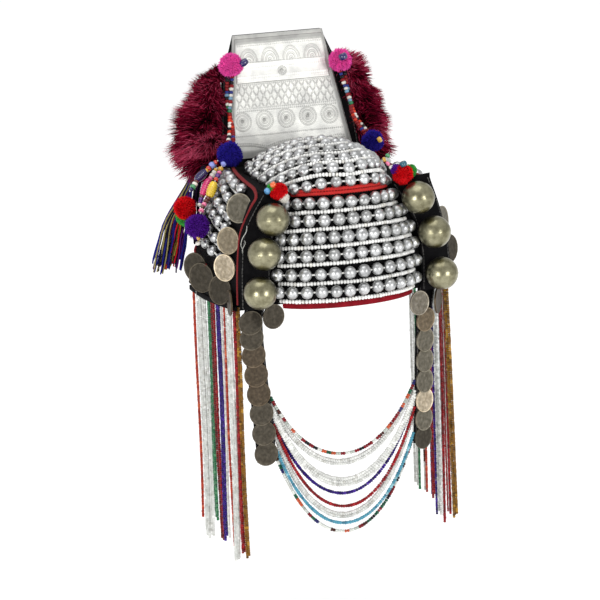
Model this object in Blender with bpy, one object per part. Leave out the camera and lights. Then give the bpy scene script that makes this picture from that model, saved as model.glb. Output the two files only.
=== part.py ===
"""Akha headdress: a beaded black cap with a flat back, a silver plate standing behind it,
silver balls, coins, pompoms, fur and long strands of beads.

Blender 4.5, metres, +Z up. The front faces -Y and +X is the viewer's right. The origin is the
middle of the head opening, level with the forehead edge. Tables are in millimetres.
"""
import math
import random
from collections import namedtuple

import bmesh
import bpy
from mathutils import Matrix, Vector

MM = 0.001
GAP = 0.4 * MM              # clearance between neighbouring pieces
SEWN_GAP = 0.9 * MM         # the same under what is sewn along the curved cloth
CAP_WALL = 2.5 * MM
ARC_END = math.radians(68)  # how far the forehead arc has turned where it meets a strip
FRONT_STEPS = 6             # mesh steps from the middle of the forehead to a strip
SIDE_STEPS = 6
WALL_STEPS = 5              # mesh steps up the wall
CORNER = 12 * MM            # rounding where side and back walls meet
SIDE_BULGE = 6 * MM
SIDE_RISE = {"left": 4 * MM, "right": -1.5 * MM}  # how much the side's top edge arches up

BEAD_CREST = 10 * MM        # how far a row of silver beads stands off the cloth
SEED_CREST = 2.6 * MM       # the same for the white seed rows between
END_EASE = 0.5              # how much lower the rows are at their ends
STRIP_THICK = 3 * MM
STRIP_GAP = 1.2 * MM        # between a strip and the cap's twisted front corner
STRIP_PROUD = {"left": 2 * MM, "right": 5 * MM}  # how far a strip reaches past that corner
BALL_RADIUS = 15.5 * MM
COIN_THICK = 1.8 * MM
COIN_SIDES = 14
STRAP_COIN_RADIUS = 11.7 * MM
CORD_RADIUS = 1.7 * MM
CROWN_CORD_RADIUS = 3 * MM

PLATE_BOTTOM = 113 * MM
PLATE_TOP = 227 * MM
PLATE_HALF_BOTTOM = 63.5 * MM
PLATE_HALF_TOP = 46 * MM
PLATE_THICK = 1.2 * MM
BOARD_THICK = 3 * MM
BOARD_Y = 79.7 * MM         # front face of the board, where it lies against the cap
BOARD_BOTTOM = 78 * MM
BEND_Z = 106 * MM           # the board is upright below this height and leans back above
LEAN = 0.265

STRAP_HALF = 9.5 * MM
STRAP_THICK = 2.2 * MM

Level = namedtuple("Level", "front_y front_z panel_x panel_y panel_z strip_x strip_y strip_z "
                            "back_x back_y back_z rear_y rear_z")
# Four rings of the cap's wall, hem to crown. Panel: where the forehead rows end. Strip: the
# front corner of the side. Back: the rear corner. Rear: the middle of the back.
LEVELS = [
    Level(-79, 0, 64, -55, 0, 101, -49, 0, 112, 84, 0, 86, 0),
    Level(-80, 35, 65, -55, 33, 99.5, -48, 36, 104, 80, 36, 82.5, 37),
    Level(-77, 70, 59, -52, 66, 93.5, -45, 71, 89, 76.5, 75, 79, 76),
    Level(-70, 104, 45, -37, 97, 81, -53, 104, 66, 74, 107, 77, 107),
]

Crest = namedtuple("Crest", "y z")
# The crown's middle line from the forehead cord to the plate, at even steps.
CREST = [Crest(-70, 104), Crest(-65, 121), Crest(-48, 129), Crest(-25, 132.5),
         Crest(0, 133), Crest(24, 130.5), Crest(48, 124.5), Crest(71, 112.5)]
CROWN_BACK = (52, 62, 104)  # where the crown's edge meets the back, at +X
CROWN_EDGE_BULGE = 4

random.seed(7)


def clear_scene():
    for item in list(bpy.data.objects):
        bpy.data.objects.remove(item)


Paint = namedtuple("Paint", "colour roughness metallic")
PAINTS = {
    "black_cloth": Paint((0.012, 0.012, 0.014), 0.9, 0),
    "red_cloth": Paint((0.22, 0.012, 0.018), 0.85, 0),
    "red_cord": Paint((0.5, 0.02, 0.015), 0.7, 0),
    "silver_beads": Paint((0.55, 0.55, 0.57), 0.35, 0.6),
    "nickel": Paint((0.55, 0.52, 0.42), 0.28, 0.9),
    "silver_sheet": Paint((0.75, 0.75, 0.74), 0.35, 0.9),
    "dark_coin": Paint((0.15, 0.12, 0.09), 0.5, 0.85),
    "grey_coin": Paint((0.34, 0.33, 0.3), 0.45, 0.85),
    "mixed_beads": Paint((0.45, 0.25, 0.18), 0.25, 0),
    "white_beads": Paint((0.75, 0.74, 0.72), 0.25, 0),
    "red_beads": Paint((0.5, 0.03, 0.02), 0.25, 0),
    "blue_beads": Paint((0.02, 0.05, 0.22), 0.25, 0),
    "turquoise_beads": Paint((0.03, 0.4, 0.45), 0.25, 0),
    "pink_glass": Paint((0.7, 0.18, 0.3), 0.15, 0),
    "blue_glass": Paint((0.03, 0.1, 0.45), 0.15, 0),
    "yellow_glass": Paint((0.75, 0.5, 0.08), 0.15, 0),
    "wool_pink": Paint((0.6, 0.04, 0.22), 0.95, 0),
    "wool_blue": Paint((0.02, 0.12, 0.4), 0.95, 0),
    "wool_red": Paint((0.55, 0.02, 0.02), 0.95, 0),
    "wool_green": Paint((0.03, 0.25, 0.08), 0.95, 0),
    "wool_purple": Paint((0.12, 0.03, 0.2), 0.95, 0),
    "fur": Paint((0.2, 0.01, 0.05), 0.9, 0),
    "yarn": Paint((0.1, 0.03, 0.12), 0.95, 0),
}


def material(name):
    made = bpy.data.materials.get(name)
    if made is None:
        made = bpy.data.materials.new(name)
        made.use_nodes = True
        shader = made.node_tree.nodes["Principled BSDF"]
        shader.inputs["Base Color"].default_value = (*PAINTS[name].colour, 1.0)
        shader.inputs["Roughness"].default_value = PAINTS[name].roughness
        shader.inputs["Metallic"].default_value = PAINTS[name].metallic
    return made


def link(name, mesh, finish):
    piece = bpy.data.objects.new(name, mesh)
    bpy.context.scene.collection.objects.link(piece)
    mesh.materials.append(finish)
    return piece


def from_bmesh(name, bm, finish, smooth=True):
    bmesh.ops.recalc_face_normals(bm, faces=bm.faces)
    mesh = bpy.data.meshes.new(name)
    bm.to_mesh(mesh)
    bm.free()
    if smooth:
        mesh.shade_smooth()
        mesh.set_sharp_from_angle(angle=math.radians(50))
    return link(name, mesh, finish)


def in_metres(row):
    return [value * MM for value in row]


def blend_rows(rows, t):
    """Smooth value of a table at t from 0 to 1, passing through every row."""
    place = min(max(t, 0.0), 1.0) * (len(rows) - 1)
    index = min(int(place), len(rows) - 2)
    f = place - index
    near = [rows[max(0, min(len(rows) - 1, index + k))] for k in (-1, 0, 1, 2)]
    return [q + 0.5 * f * (r - p + f * (2 * p - 5 * q + 4 * r - s + f * (3 * (q - r) + s - p)))
            for p, q, r, s in zip(*near)]


def mix(a, b, t):
    return a + (b - a) * t


def even(low, high, count):
    return [mix(low, high, i / (count - 1)) for i in range(count)]


def arc(end, middle, a):
    """Point at a from -1 to 1 on an arc that runs through middle from the mirrored end to end."""
    turn = a * ARC_END
    reach = (math.cos(turn) - math.cos(ARC_END)) / (1 - math.cos(ARC_END))
    across = end[0] * math.sin(turn) / math.sin(ARC_END)
    return Vector((across, mix(end[1], middle[0], reach), mix(end[2], middle[1], reach)))


def level(v):
    return Level(*in_metres(blend_rows(LEVELS, v)))


def front_point(a, v):
    row = level(v)
    return arc((row.panel_x, row.panel_y, row.panel_z), (row.front_y, row.front_z), a)


def facet_point(f, v):
    """Point on the flat face beside the forehead at +X: f is 0 at the rows, 1 at the corner."""
    row = level(v)
    inner = Vector((row.panel_x, row.panel_y, row.panel_z))
    return inner.lerp(Vector((row.strip_x, row.strip_y, row.strip_z)), f)


def side_point(u, v, word="right"):
    """Point on the side wall at +X: u is 0 at the front corner, 1 where the rear corner starts."""
    row = level(v)
    start = Vector((row.strip_x, row.strip_y, row.strip_z))
    point = start.lerp(Vector((row.back_x, row.back_y - CORNER, row.back_z)), u)
    point.x += SIDE_BULGE * math.sin(math.pi * u)
    point.z += SIDE_RISE[word] * v * math.sin(math.pi * u)
    return point


def back_point(a, v):
    row = level(v)
    reach = math.cos(a * math.pi / 2)
    return Vector(((row.back_x - CORNER) * a, mix(row.back_y, row.rear_y, reach),
                   mix(row.back_z, row.rear_z, reach)))


def crown_edge(b):
    """The crown's right edge: b is 0 at the forehead cord and 1 at the back."""
    row = level(1.0)
    start = Vector((row.panel_x, row.panel_y, row.panel_z))
    point = start.lerp(Vector(in_metres(CROWN_BACK)), b)
    point.x += CROWN_EDGE_BULGE * MM * math.sin(math.pi * b)
    return point


def crown_point(a, b):
    crest = in_metres(blend_rows(CREST, b))
    return arc(crown_edge(b), crest, a)


def outward(surface, a, b, inside):
    """Unit normal of a surface function at (a, b), pointing away from the inside point."""
    step = 0.01
    here = surface(a, b)
    along = surface(a + step, b) - surface(a - step, b)
    up = surface(a, min(b + step, 1.0)) - surface(a, max(b - step, 0.0))
    normal = along.cross(up).normalized()
    return normal if normal.dot(here - inside) > 0 else -normal


INSIDE = Vector((0, 0, 40 * MM))


def half_ring(v, word):
    """Points of one wall ring from the middle of the forehead round +X to the middle of the back."""
    points = [front_point(i / FRONT_STEPS, v) for i in range(FRONT_STEPS + 1)]
    points += [facet_point(f, v) for f in (0.25, 0.5, 1.0)]
    points += [side_point(i / SIDE_STEPS, v, word) for i in range(1, SIDE_STEPS + 1)]
    row = level(v)
    bend = Vector((row.back_x - 0.3 * CORNER, row.back_y - 0.3 * CORNER, row.back_z))
    points.append(bend)
    points += [back_point(1 - i / FRONT_STEPS, v) for i in range(FRONT_STEPS + 1)]
    return points


def crown_half_border():
    """The crown's border, with as many points as half_ring."""
    side = SIDE_STEPS + 5
    points = [crown_point(i / FRONT_STEPS, 0) for i in range(FRONT_STEPS + 1)]
    points += [crown_point(1, i / side) for i in range(1, side + 1)]
    points += [crown_point(1 - i / FRONT_STEPS, 1) for i in range(1, FRONT_STEPS + 1)]
    return points


def full_ring(right, left):
    return right + [Vector((-p.x, p.y, p.z)) for p in left[-2:0:-1]]


def add_quads(bm, rows, closed):
    """Skin a list of equally long rows of points."""
    made = [[bm.verts.new(p) for p in row] for row in rows]
    count = len(rows[0])
    for low, high in zip(made, made[1:]):
        for i in range(count if closed else count - 1):
            j = (i + 1) % count
            bm.faces.new((low[i], low[j], high[j], high[i]))
    return made


def build_cap(finish):
    bm = bmesh.new()
    rings = [full_ring(half_ring(v, "right"), half_ring(v, "left")) for v in even(0, 1, WALL_STEPS + 1)]
    rings.append(full_ring(crown_half_border(), crown_half_border()))
    add_quads(bm, rings, closed=True)
    side = SIDE_STEPS + 5
    grid = [[crown_point(i / FRONT_STEPS, j / side) for i in range(-FRONT_STEPS, FRONT_STEPS + 1)]
            for j in range(side + 1)]
    add_quads(bm, grid, closed=False)
    bmesh.ops.remove_doubles(bm, verts=bm.verts, dist=0.02 * MM)
    bmesh.ops.dissolve_degenerate(bm, edges=bm.edges, dist=0.02 * MM)
    cap = from_bmesh("cap", bm, finish)
    wall = cap.modifiers.new("wall", "SOLIDIFY")
    wall.thickness = CAP_WALL
    wall.offset = -1
    wall.use_even_offset = True
    return cap


def lofted(name, loops, finish, smooth=True):
    """A closed body through loops of points, with flat ends."""
    bm = bmesh.new()
    made = add_quads(bm, loops, closed=True)
    bm.faces.new(made[0])
    bm.faces.new(made[-1])
    return from_bmesh(name, bm, finish, smooth)


def row_profile(start, pitch, rows, end):
    """Heights of a sewn field across its rows: a low seed row, then a crest, and so on."""
    profile = []
    for k in range(rows):
        valley = start + k * pitch
        profile += [(valley, SEED_CREST), (valley + 0.34 * pitch, BEAD_CREST),
                    (valley + 0.64 * pitch, BEAD_CREST)]
    profile.append((end, SEED_CREST))
    return profile


def bead_field(name, surface, stations, profile, finish):
    """Rows of sewn beads as one padded panel that follows a surface function (a, v)."""
    low, high = profile[0][0], profile[-1][0]
    steps = len(profile) // 3 + 1
    backing = [mix(high, low, i / steps) for i in range(steps + 1)]
    loops = []
    for a in stations:
        ease = END_EASE if a in (stations[0], stations[-1]) else 1.0
        loop = [surface(a, v) + outward(surface, a, v, INSIDE) * mix(SEED_CREST, h, ease)
                for v, h in profile]
        loop += [surface(a, v) + outward(surface, a, v, INSIDE) * SEWN_GAP for v in backing]
        loops.append(loop)
    return lofted(name, loops, finish)


def left_side(u, v):
    point = side_point(u, v, "left")
    return Vector((-point.x, point.y, point.z))


def build_fields(finish):
    pitch = 0.162
    bead_field("front_bead_rows", front_point, even(-0.94, 0.94, 13),
               row_profile(0.016, pitch, 6, 0.945), finish)
    bead_field("crown_bead_rows", crown_point, even(-0.93, 0.93, 11),
               row_profile(0.072, 0.0955, 9, 0.938), finish)
    for surface, word in ((side_point, "right"), (left_side, "left")):
        bead_field(f"side_bead_rows_{word}", surface, even(0.32, 0.97, 6), row_profile(0.35, 0.143, 4, 0.93), finish)


def smooth_path(points, count):
    rows = [tuple(p) for p in points]
    return [Vector(blend_rows(rows, i / (count - 1))) for i in range(count)]


def tube(name, points, radius, finish, radii=None, resolution=2):
    """A tube along points; radii scales it point by point."""
    curve = bpy.data.curves.new(name, "CURVE")
    curve.dimensions = "3D"
    spline = curve.splines.new("POLY")
    spline.points.add(len(points) - 1)
    for i, point in enumerate(points):
        spline.points[i].co = (*point, 1.0)
        spline.points[i].radius = radii[i] if radii else 1.0
    curve.bevel_depth = radius
    curve.bevel_resolution = resolution
    curve.use_fill_caps = True
    piece = bpy.data.objects.new(name, curve)
    bpy.context.scene.collection.objects.link(piece)
    curve.materials.append(finish)
    return piece


def build_front_hem(finish):
    """Cloth binding under the forehead edge, between the strips."""
    loops = []
    for a in even(-0.97, 0.97, 13):
        top = front_point(a, 0)
        out = outward(front_point, a, 0, INSIDE)
        out.z = 0
        face, rear = top + out * 1.2 * MM, top - out * (CAP_WALL + 0.5 * MM)
        loops.append([Vector((p.x, p.y, z)) for p, z in
                      ((face, -GAP), (face, -4 * MM), (rear, -4 * MM), (rear, -GAP))])
    lofted("front_hem", loops, finish)


def build_crown_cord(finish):
    points = []
    for a in even(-0.92, 0.92, 15):
        normal = (outward(front_point, a, 0.99, INSIDE) + outward(crown_point, a, 0.02, INSIDE))
        points.append(front_point(a, 1.0) + normal.normalized() * (CROWN_CORD_RADIUS + SEWN_GAP))
    tube("crown_cord", points, CROWN_CORD_RADIUS, finish, resolution=1)


def flip(points, side):
    return [Vector((p.x * side, p.y, p.z)) for p in points]


def facet_normal(v):
    return outward(facet_point, 0.5, v, INSIDE)


def build_strip(side, word, finish):
    """Stiff cloth strip beside the forehead, standing a little proud of the cap's corner."""
    reach = 1 + STRIP_PROUD[word] / 36 / MM
    back, face = STRIP_GAP, STRIP_GAP + STRIP_THICK
    corners = ((0.25, back), (0.5, back), (reach, back), (reach, face), (0.5, face), (0.25, face))
    loops = []
    for v in [-0.02] + even(0, 1, WALL_STEPS + 1) + [1.04]:
        level_v = min(max(v, 0.0), 1.0)
        lift = Vector((0, 0, (v - level_v) * 107 * MM))
        normal = facet_normal(level_v)
        loops.append(flip([facet_point(f, level_v) + lift + normal * off for f, off in corners], side))
    lofted(f"strip_{word}", loops, finish)


# The cord up the strip: beside the strip's edge at the left, tucked behind it at the right.
CORD_OUT = {"left": STRIP_PROUD["left"] + CORD_RADIUS + SEWN_GAP, "right": CORD_RADIUS + SEWN_GAP}
CORD_FORWARD = {"left": 1.5 * MM, "right": STRIP_GAP - GAP - CORD_RADIUS}
CORD_ABOVE = {"left": 1.0, "right": 0.0}


def build_side_cord(side, word, finish):
    """Thin cord up the strip's outer edge and back along the top of the side panel."""
    points = []
    for v in (0.04, 0.25, 0.45, 0.65, 0.85, 0.96):
        spot = facet_point(1 + CORD_OUT[word] / 36 / MM, v)
        points.append(spot + facet_normal(v) * CORD_FORWARD[word])
    for u in even(0.1, 0.97, 6):
        v = mix(0.955, 1.0, CORD_ABOVE[word])
        normal = outward(side_point, u, v - 0.03, INSIDE) + Vector((0, 0, CORD_ABOVE[word]))
        points.append(side_point(u, v, word) + normal.normalized() * (CORD_RADIUS + 2 * GAP))
    tube(f"side_cord_{word}", flip(smooth_path(points, 17), side), CORD_RADIUS, finish, resolution=1)


def ball(name, centre, radius, finish, segments=14):
    bm = bmesh.new()
    bmesh.ops.create_uvsphere(bm, u_segments=segments, v_segments=segments // 2 + 1, radius=radius,
                              matrix=Matrix.Translation(centre))
    return from_bmesh(name, bm, finish)


Mark = namedtuple("Mark", "v f off")
# Where the balls sit on the strips, top one first: v is the height, f the place across, and off
# how far the ball stands off the twisted strip there.
BALLS = {"left": [Mark(0.775, 0.58, 0.75), Mark(0.48, 0.5, -0.3), Mark(0.175, 0.62, 0.1)],
         "right": [Mark(0.84, 0.59, 0.5), Mark(0.51, 0.48, -0.3), Mark(0.17, 0.58, 0.15)]}


def build_balls(side, word, finish):
    for number, mark in enumerate(BALLS[word], 1):
        stand = STRIP_GAP + STRIP_THICK + mark.off * MM + BALL_RADIUS
        centre = facet_point(mark.f, mark.v) + facet_normal(mark.v) * stand
        ball(f"ball_{word}_{number}", flip([centre], side)[0], BALL_RADIUS, finish)


def board_front(z):
    return BOARD_Y + max(0.0, z - BEND_Z) * LEAN


def plate_half(z):
    return mix(PLATE_HALF_BOTTOM, PLATE_HALF_TOP, (z - PLATE_BOTTOM) / (PLATE_TOP - PLATE_BOTTOM))


BOARD_MARGIN = [(78, -4), (106, 6), (140, 9.5), (185, 9), (206, 4), (227, -1)]


def board_half(z):
    """Half-width of the board, which shows past the plate's sides by a margin."""
    for (low, near), (high, far) in zip(BOARD_MARGIN, BOARD_MARGIN[1:]):
        if z <= high * MM + 1e-6:
            return plate_half(z) + mix(near, far, (z / MM - low) / (high - low)) * MM
    return plate_half(z)


def build_board(finish):
    """Black board behind the plate: upright where it is sewn to the cap, leaning back above."""
    loops = []
    for z in (BOARD_BOTTOM, BEND_Z, 140 * MM, 185 * MM, 206 * MM, PLATE_TOP):
        half, front = board_half(z), board_front(z)
        rear = front + BOARD_THICK
        loops.append([Vector((x, y, z)) for x, y in
                      ((-half, front), (half, front), (half, rear), (-half, rear))])
    lofted("plate_board", loops, finish, smooth=False)


Rosette = namedtuple("Rosette", "across z radius")
# Embossed rosettes: across is in plate half-widths, from -1 to 1.
ROSETTES = ([Rosette(-0.66 + 0.44 * k, 207.5, 7.5) for k in range(4)]
            + [Rosette(0, 191.6, 4)]
            + [Rosette(-0.79 + 0.38 * k, 146.8, 9) for k in range(5)])
RIM = 0.955                 # where the raised rim starts, in half-widths
RIM_BOTTOM = 121            # the plate is smooth below this height
RELIEF = 0.9 * MM


def plate_relief(z):
    """Whether the embossing is raised at this height: the top rim and two ridges across."""
    return z > 221.5 or abs(z - 200) < 1.2 or abs(z - 183) < 1.2


def build_plate(finish):
    """Silver trapezoid with a raised rim, two ridges and rows of rosettes."""
    heights = [PLATE_BOTTOM / MM, RIM_BOTTOM, RIM_BOTTOM + 1, 181, 182, 184, 185, 198, 199, 201,
               202, 220.5, 222, PLATE_TOP / MM]
    columns = (-1, -RIM - 0.01, -RIM, RIM, RIM + 0.01, 1)
    loops = []
    for z in heights:
        half, front, loop = plate_half(z * MM), board_front(z * MM) - GAP - PLATE_THICK, []
        for c in columns:
            raised = plate_relief(z) or (abs(c) > RIM and z > RIM_BOTTOM)
            loop.append(Vector((c * half, front - (RELIEF if raised else 0), z * MM)))
        back = board_front(z * MM) - GAP
        loops.append(loop + [Vector((half, back, z * MM)), Vector((-half, back, z * MM))])
    pieces = [lofted("sheet", loops, finish, smooth=False)]
    facing = Vector((0, -1, LEAN)).to_track_quat("Z", "Y").to_matrix().to_4x4()
    for rosette in ROSETTES:
        z, radius = rosette.z * MM, rosette.radius * MM
        centre = Vector((rosette.across * plate_half(z), board_front(z) - GAP - PLATE_THICK, z))
        bm = bmesh.new()
        bmesh.ops.create_cone(bm, segments=8, radius1=radius, radius2=radius * 0.5, depth=2.2 * MM,
                              cap_ends=True, matrix=Matrix.Translation(centre) @ facing)
        pieces.append(from_bmesh("boss", bm, finish, smooth=False))
    fuse("back_plate", pieces, finish)


def fuse(name, pieces, finish):
    """Join overlapping closed pieces into one body."""
    base = pieces[0]
    for other in pieces[1:]:
        join = base.modifiers.new("join", "BOOLEAN")
        join.operation = "UNION"
        join.object = other
    graph = bpy.context.evaluated_depsgraph_get()
    graph.update()
    mesh = bpy.data.meshes.new_from_object(base.evaluated_get(graph))
    mesh.name = name
    for piece in pieces:
        bpy.data.objects.remove(piece)
    mesh.materials.clear()
    return link(name, mesh, finish)


def sweep(points, widths, depths, sides, wide):
    """Loops of an oval section along points; wide is the direction that widths are measured in."""
    loops = []
    for i, point in enumerate(points):
        along = (points[min(i + 1, len(points) - 1)] - points[max(i - 1, 0)]).normalized()
        across = (wide - along * wide.dot(along)).normalized()
        deep = along.cross(across)
        turns = [2 * math.pi * k / sides for k in range(sides)]
        loops.append([point + across * widths[i] * math.cos(t) + deep * depths[i] * math.sin(t)
                      for t in turns])
    return loops


# Small-bead string in front of the board's edge at +X, from the pink pompom to the blue one.
EDGE_PATH = [(59.2, 87.5, 176), (61.5, 82, 160), (63, 73.5, 144)]


def build_edge_string(side, word, finish):
    points = [Vector(in_metres(row)) for row in EDGE_PATH]
    for name, nearest, place in (("pink", points[0], 0), ("blue", points[-1], len(points) + 1)):
        lobe = POMPOMS[f"pompom_{name}_{word}"][0]
        centre = Vector(in_metres((abs(lobe.x), lobe.y, lobe.z)))
        points.insert(place, centre + (nearest - centre).normalized() * lobe.radius * MM)
    tube(f"edge_string_{word}", flip(smooth_path(points, 11), side), 2.4 * MM, finish, resolution=1)


Bend = namedtuple("Bend", "x y z turn")
# Middle line of each strap, mirrored to +X, and how far it is turned outwards in degrees.
STRAP_PATHS = {
    "left": [Bend(87, -45.4, -0.6, 0), Bend(89.7, -43, -14, 0), Bend(88.7, -41, -34, 0),
             Bend(85.7, -40, -70, 0), Bend(82, -39.5, -110, 0), Bend(79, -39, -153, 0)],
    "right": [Bend(84, -45.4, -0.6, 8), Bend(83, -43, -14, 15), Bend(81, -41, -34, 24),
              Bend(79.5, -40, -70, 26), Bend(78.5, -39.5, -110, 26), Bend(76, -39, -153, 26)],
}


def strap_at(z, word):
    """Middle of a strap at a height, with its downward, sideways and outward directions."""
    path = [(Vector(in_metres(row[:3])), row.turn) for row in STRAP_PATHS[word]]
    spans = [(high, low) for high, low in zip(path, path[1:]) if z >= low[0].z] or [path[-2:]]
    (high, high_turn), (low, low_turn) = spans[0]
    t = (high.z - z) / (high.z - low.z)
    down = (low - high).normalized()
    turn = math.radians(mix(high_turn, low_turn, t))
    side = Vector((math.cos(turn), math.sin(turn), 0))
    return high.lerp(low, t), down, side, side.cross(-down).normalized()


def build_strap(side, word, finish):
    loops = []
    for row in STRAP_PATHS[word]:
        middle, _, across, out = strap_at(row.z * MM, word)
        loops.append(flip([middle + across * STRAP_HALF * i + Vector((out.x, out.y, 0)) * STRAP_THICK / 2 * j
                           for i, j in ((-1, 1), (1, 1), (1, -1), (-1, -1))], side))
    lofted(f"strap_{word}", loops, finish, smooth=False)


def disc(name, centre, normal, radius, finish):
    bm = bmesh.new()
    turn = normal.to_track_quat("Z", "Y").to_matrix().to_4x4()
    bmesh.ops.create_cone(bm, segments=COIN_SIDES, radius1=radius, radius2=radius, depth=COIN_THICK,
                          cap_ends=True, matrix=Matrix.Translation(centre) @ turn)
    return from_bmesh(name, bm, finish)


# Heights of the coins down each strap, below the forehead edge.
STRAP_DROPS = {"left": (16, 31, 48, 67, 85.5, 104.5, 124, 144), "right": (33, 53, 73, 93, 112, 130, 148)}
SHINGLE = math.radians(3.6)  # each coin lies on the next one down


def build_strap_coins(side, word, finish):
    coins = []
    for drop in STRAP_DROPS[word]:
        middle, _, across, out = strap_at(-drop * MM, word)
        normal = Matrix.Rotation(-SHINGLE, 3, across) @ out
        stand = (STRAP_THICK + COIN_THICK) / 2 + SEWN_GAP + STRAP_COIN_RADIUS * math.sin(SHINGLE)
        centre, normal = flip([middle + out * stand, normal], side)
        coins.append(disc("coin", centre, normal, STRAP_COIN_RADIUS, finish))
    fuse(f"strap_coins_{word}", coins, finish)


Coin = namedtuple("Coin", "x y z azimuth tilt radius")
# Loose coins by piece: azimuth turns the face from the front towards +X, tilt raises it.
COINS = {
    "side_coin_left_top": [Coin(-94.8, -28, 87.8, -68, 18, 14)],
    "side_coin_left_middle": [Coin(-105, -28, 59, -68, 8, 12.8)],
    "side_coins_left_front": [Coin(-109.5, -28, 34, -68, 3, 12.8), Coin(-112.5, -21, 12, -70, 9, 14),
                              Coin(-109.5, -38, 3, -86, 0, 12)],
    "side_coins_left_rear": [Coin(-120.5, 24.7, 25.3, -66, 2, 14.3), Coin(-118, 15.6, 17, -61, 2, 14.3)],
    "corner_coin_left": [Coin(-74.6, -59.5, -9.6, 14, 2, 11.7)],
    "side_coin_right_top": [Coin(107.9, -31, 61, 45, 4, 14.3)],
    "side_coin_right_low": [Coin(112.5, -31, 29, 45, 3, 14.3)],
    "edge_coin_right": [Coin(93, -50.5, -14.9, 40, 0, 12.5)],
    "corner_coin_right": [Coin(69.8, -60.9, -12.7, 20, 2, 11.7)],
}


def build_loose_coins():
    for name, rows in COINS.items():
        coins, finish = [], material("grey_coin")
        for row in rows:
            turn, rise = math.radians(row.azimuth), math.radians(row.tilt)
            normal = Vector((math.sin(turn) * math.cos(rise), -math.cos(turn) * math.cos(rise),
                             math.sin(rise)))
            centre = Vector(in_metres((row.x, row.y, row.z)))
            coins.append(disc(name if len(rows) == 1 else "coin", centre, normal, row.radius * MM, finish))
        if len(coins) > 1:
            fuse(name, coins, finish)


Strand = namedtuple("Strand", "end low half")
# Chin strands: where the ends meet the strap and how low the middle hangs, in millimetres
# below the forehead edge. The wide ones stand for two or three strands side by side.
STRANDS = [Strand(92, 154, 1.3), Strand(97, 163, 2.4), Strand(105, 182, 3.6), Strand(111.5, 194, 1.3),
           Strand(118, 206, 1.3), Strand(126, 215.5, 2.4), Strand(143, 222.5, 1.3), Strand(150, 231.5, 1.3)]
STRAND_COLOURS = ("mixed", "white", "white", "blue", "red", "white", "turquoise", "mixed")
STRAND_DEEP = 1.25 * MM
STRAND_PLANE = 2.9 * MM     # every second strand hangs this far behind the others
SAG_SHAPE = 1.6             # how much the strands' curve steepens towards its ends


def strap_edge(z, word):
    """Where a strand meets a strap's inner edge, in its own place and not mirrored."""
    middle, _, across, _ = strap_at(z, word)
    point = middle - across * (STRAP_HALF + SEWN_GAP)
    return flip([point], -1 if word == "left" else 1)[0]


def build_chin_strands():
    for number, (strand, colour) in enumerate(zip(STRANDS, STRAND_COLOURS), 1):
        start, end = (strap_edge(-strand.end * MM, word) for word in ("left", "right"))
        points = []
        for t in even(-1, 1, 11):
            rise = (math.cosh(SAG_SHAPE * t) - 1) / (math.cosh(SAG_SHAPE) - 1)
            point = start.lerp(end, (t + 1) / 2)
            point.y += 0 if number % 2 else STRAND_PLANE
            point.z = -mix(strand.low, strand.end, rise) * MM
            points.append(point)
        count = len(points)
        loops = sweep(points, [strand.half * MM] * count, [STRAND_DEEP] * count, 6, Vector((0, 0, 1)))
        for loop, edge in ((loops[0], start), (loops[-1], end)):
            for point in loop:
                point.x = edge.x
        lofted(f"chin_strand_{number}", loops, material(f"{colour}_beads"))


Hank = namedtuple("Hank", "y low half out")
# Bead tassels: place along the side, lowest point and half-width of each bundle of strands,
# and how far its foot hangs out from the side.
HANKS = {
    "left": [Hank(-35, 243, 3, 0), Hank(-27.5, 242, 3, 0), Hank(-15.5, 251, 7.5, 0),
             Hank(-5.5, 239, 1.8, 0), Hank(-1, 229, 1.8, 0), Hank(5.5, 231, 3.2, 0),
             Hank(13, 237, 2.4, 0), Hank(20.5, 221, 2.6, 0), Hank(41, 244, 15, 0), Hank(63, 230, 2.6, 0)],
    "right": [Hank(-31, 236, 6.5, 6), Hank(-17, 236, 4, 2), Hank(-7, 247, 4, 0), Hank(10, 245, 6, 0),
              Hank(25, 234, 4, 0), Hank(42, 230, 3, 0), Hank(54, 231, 6, 0)],
}
HEADER_TOP, HEADER_LOW = -0.9 * MM, -6 * MM
HEADER_HALF = 2.4 * MM


def tassel_line(y, word):
    """Point under the side wall's lower edge at +X, at this depth; the right bar stands out."""
    row = level(0)
    u = min(max((y - row.strip_y) / (row.back_y - CORNER - row.strip_y), 0.0), 1.0)
    out = 6 * MM * (1 - u) if word == "right" else 0
    return Vector((side_point(u, 0).x - CAP_WALL / 2 + out, y, 0))


def build_bead_tassel(side, word, finish):
    """Bundles of bead strands hanging from one bar under the side panel."""
    loops = []
    for y in in_metres(even(-40, 68, 9)):
        spot = tassel_line(y, word)
        corners = ((-HEADER_HALF, HEADER_TOP), (HEADER_HALF, HEADER_TOP),
                   (HEADER_HALF, HEADER_LOW), (-HEADER_HALF, HEADER_LOW))
        loops.append(flip([Vector((spot.x + dx, y, z)) for dx, z in corners], side))
    pieces = [lofted("header", loops, finish, smooth=False)]
    for hank in HANKS[word]:
        spot = tassel_line(hank.y * MM, word)
        foot = Vector((spot.x + hank.out * MM, spot.y, -hank.low * MM))
        points = [spot - Vector((0, 0, 4 * MM)), spot.lerp(foot, 0.5), foot]
        loops = sweep(flip(points, side), [hank.half * MM * k for k in (0.9, 1, 0.9)],
                      [1.9 * MM * k for k in (0.9, 1, 0.8)], 6, Vector((0, 1, 0)))
        pieces.append(lofted("hank", loops, finish))
    fuse(f"bead_tassel_{word}", pieces, finish)


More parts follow.
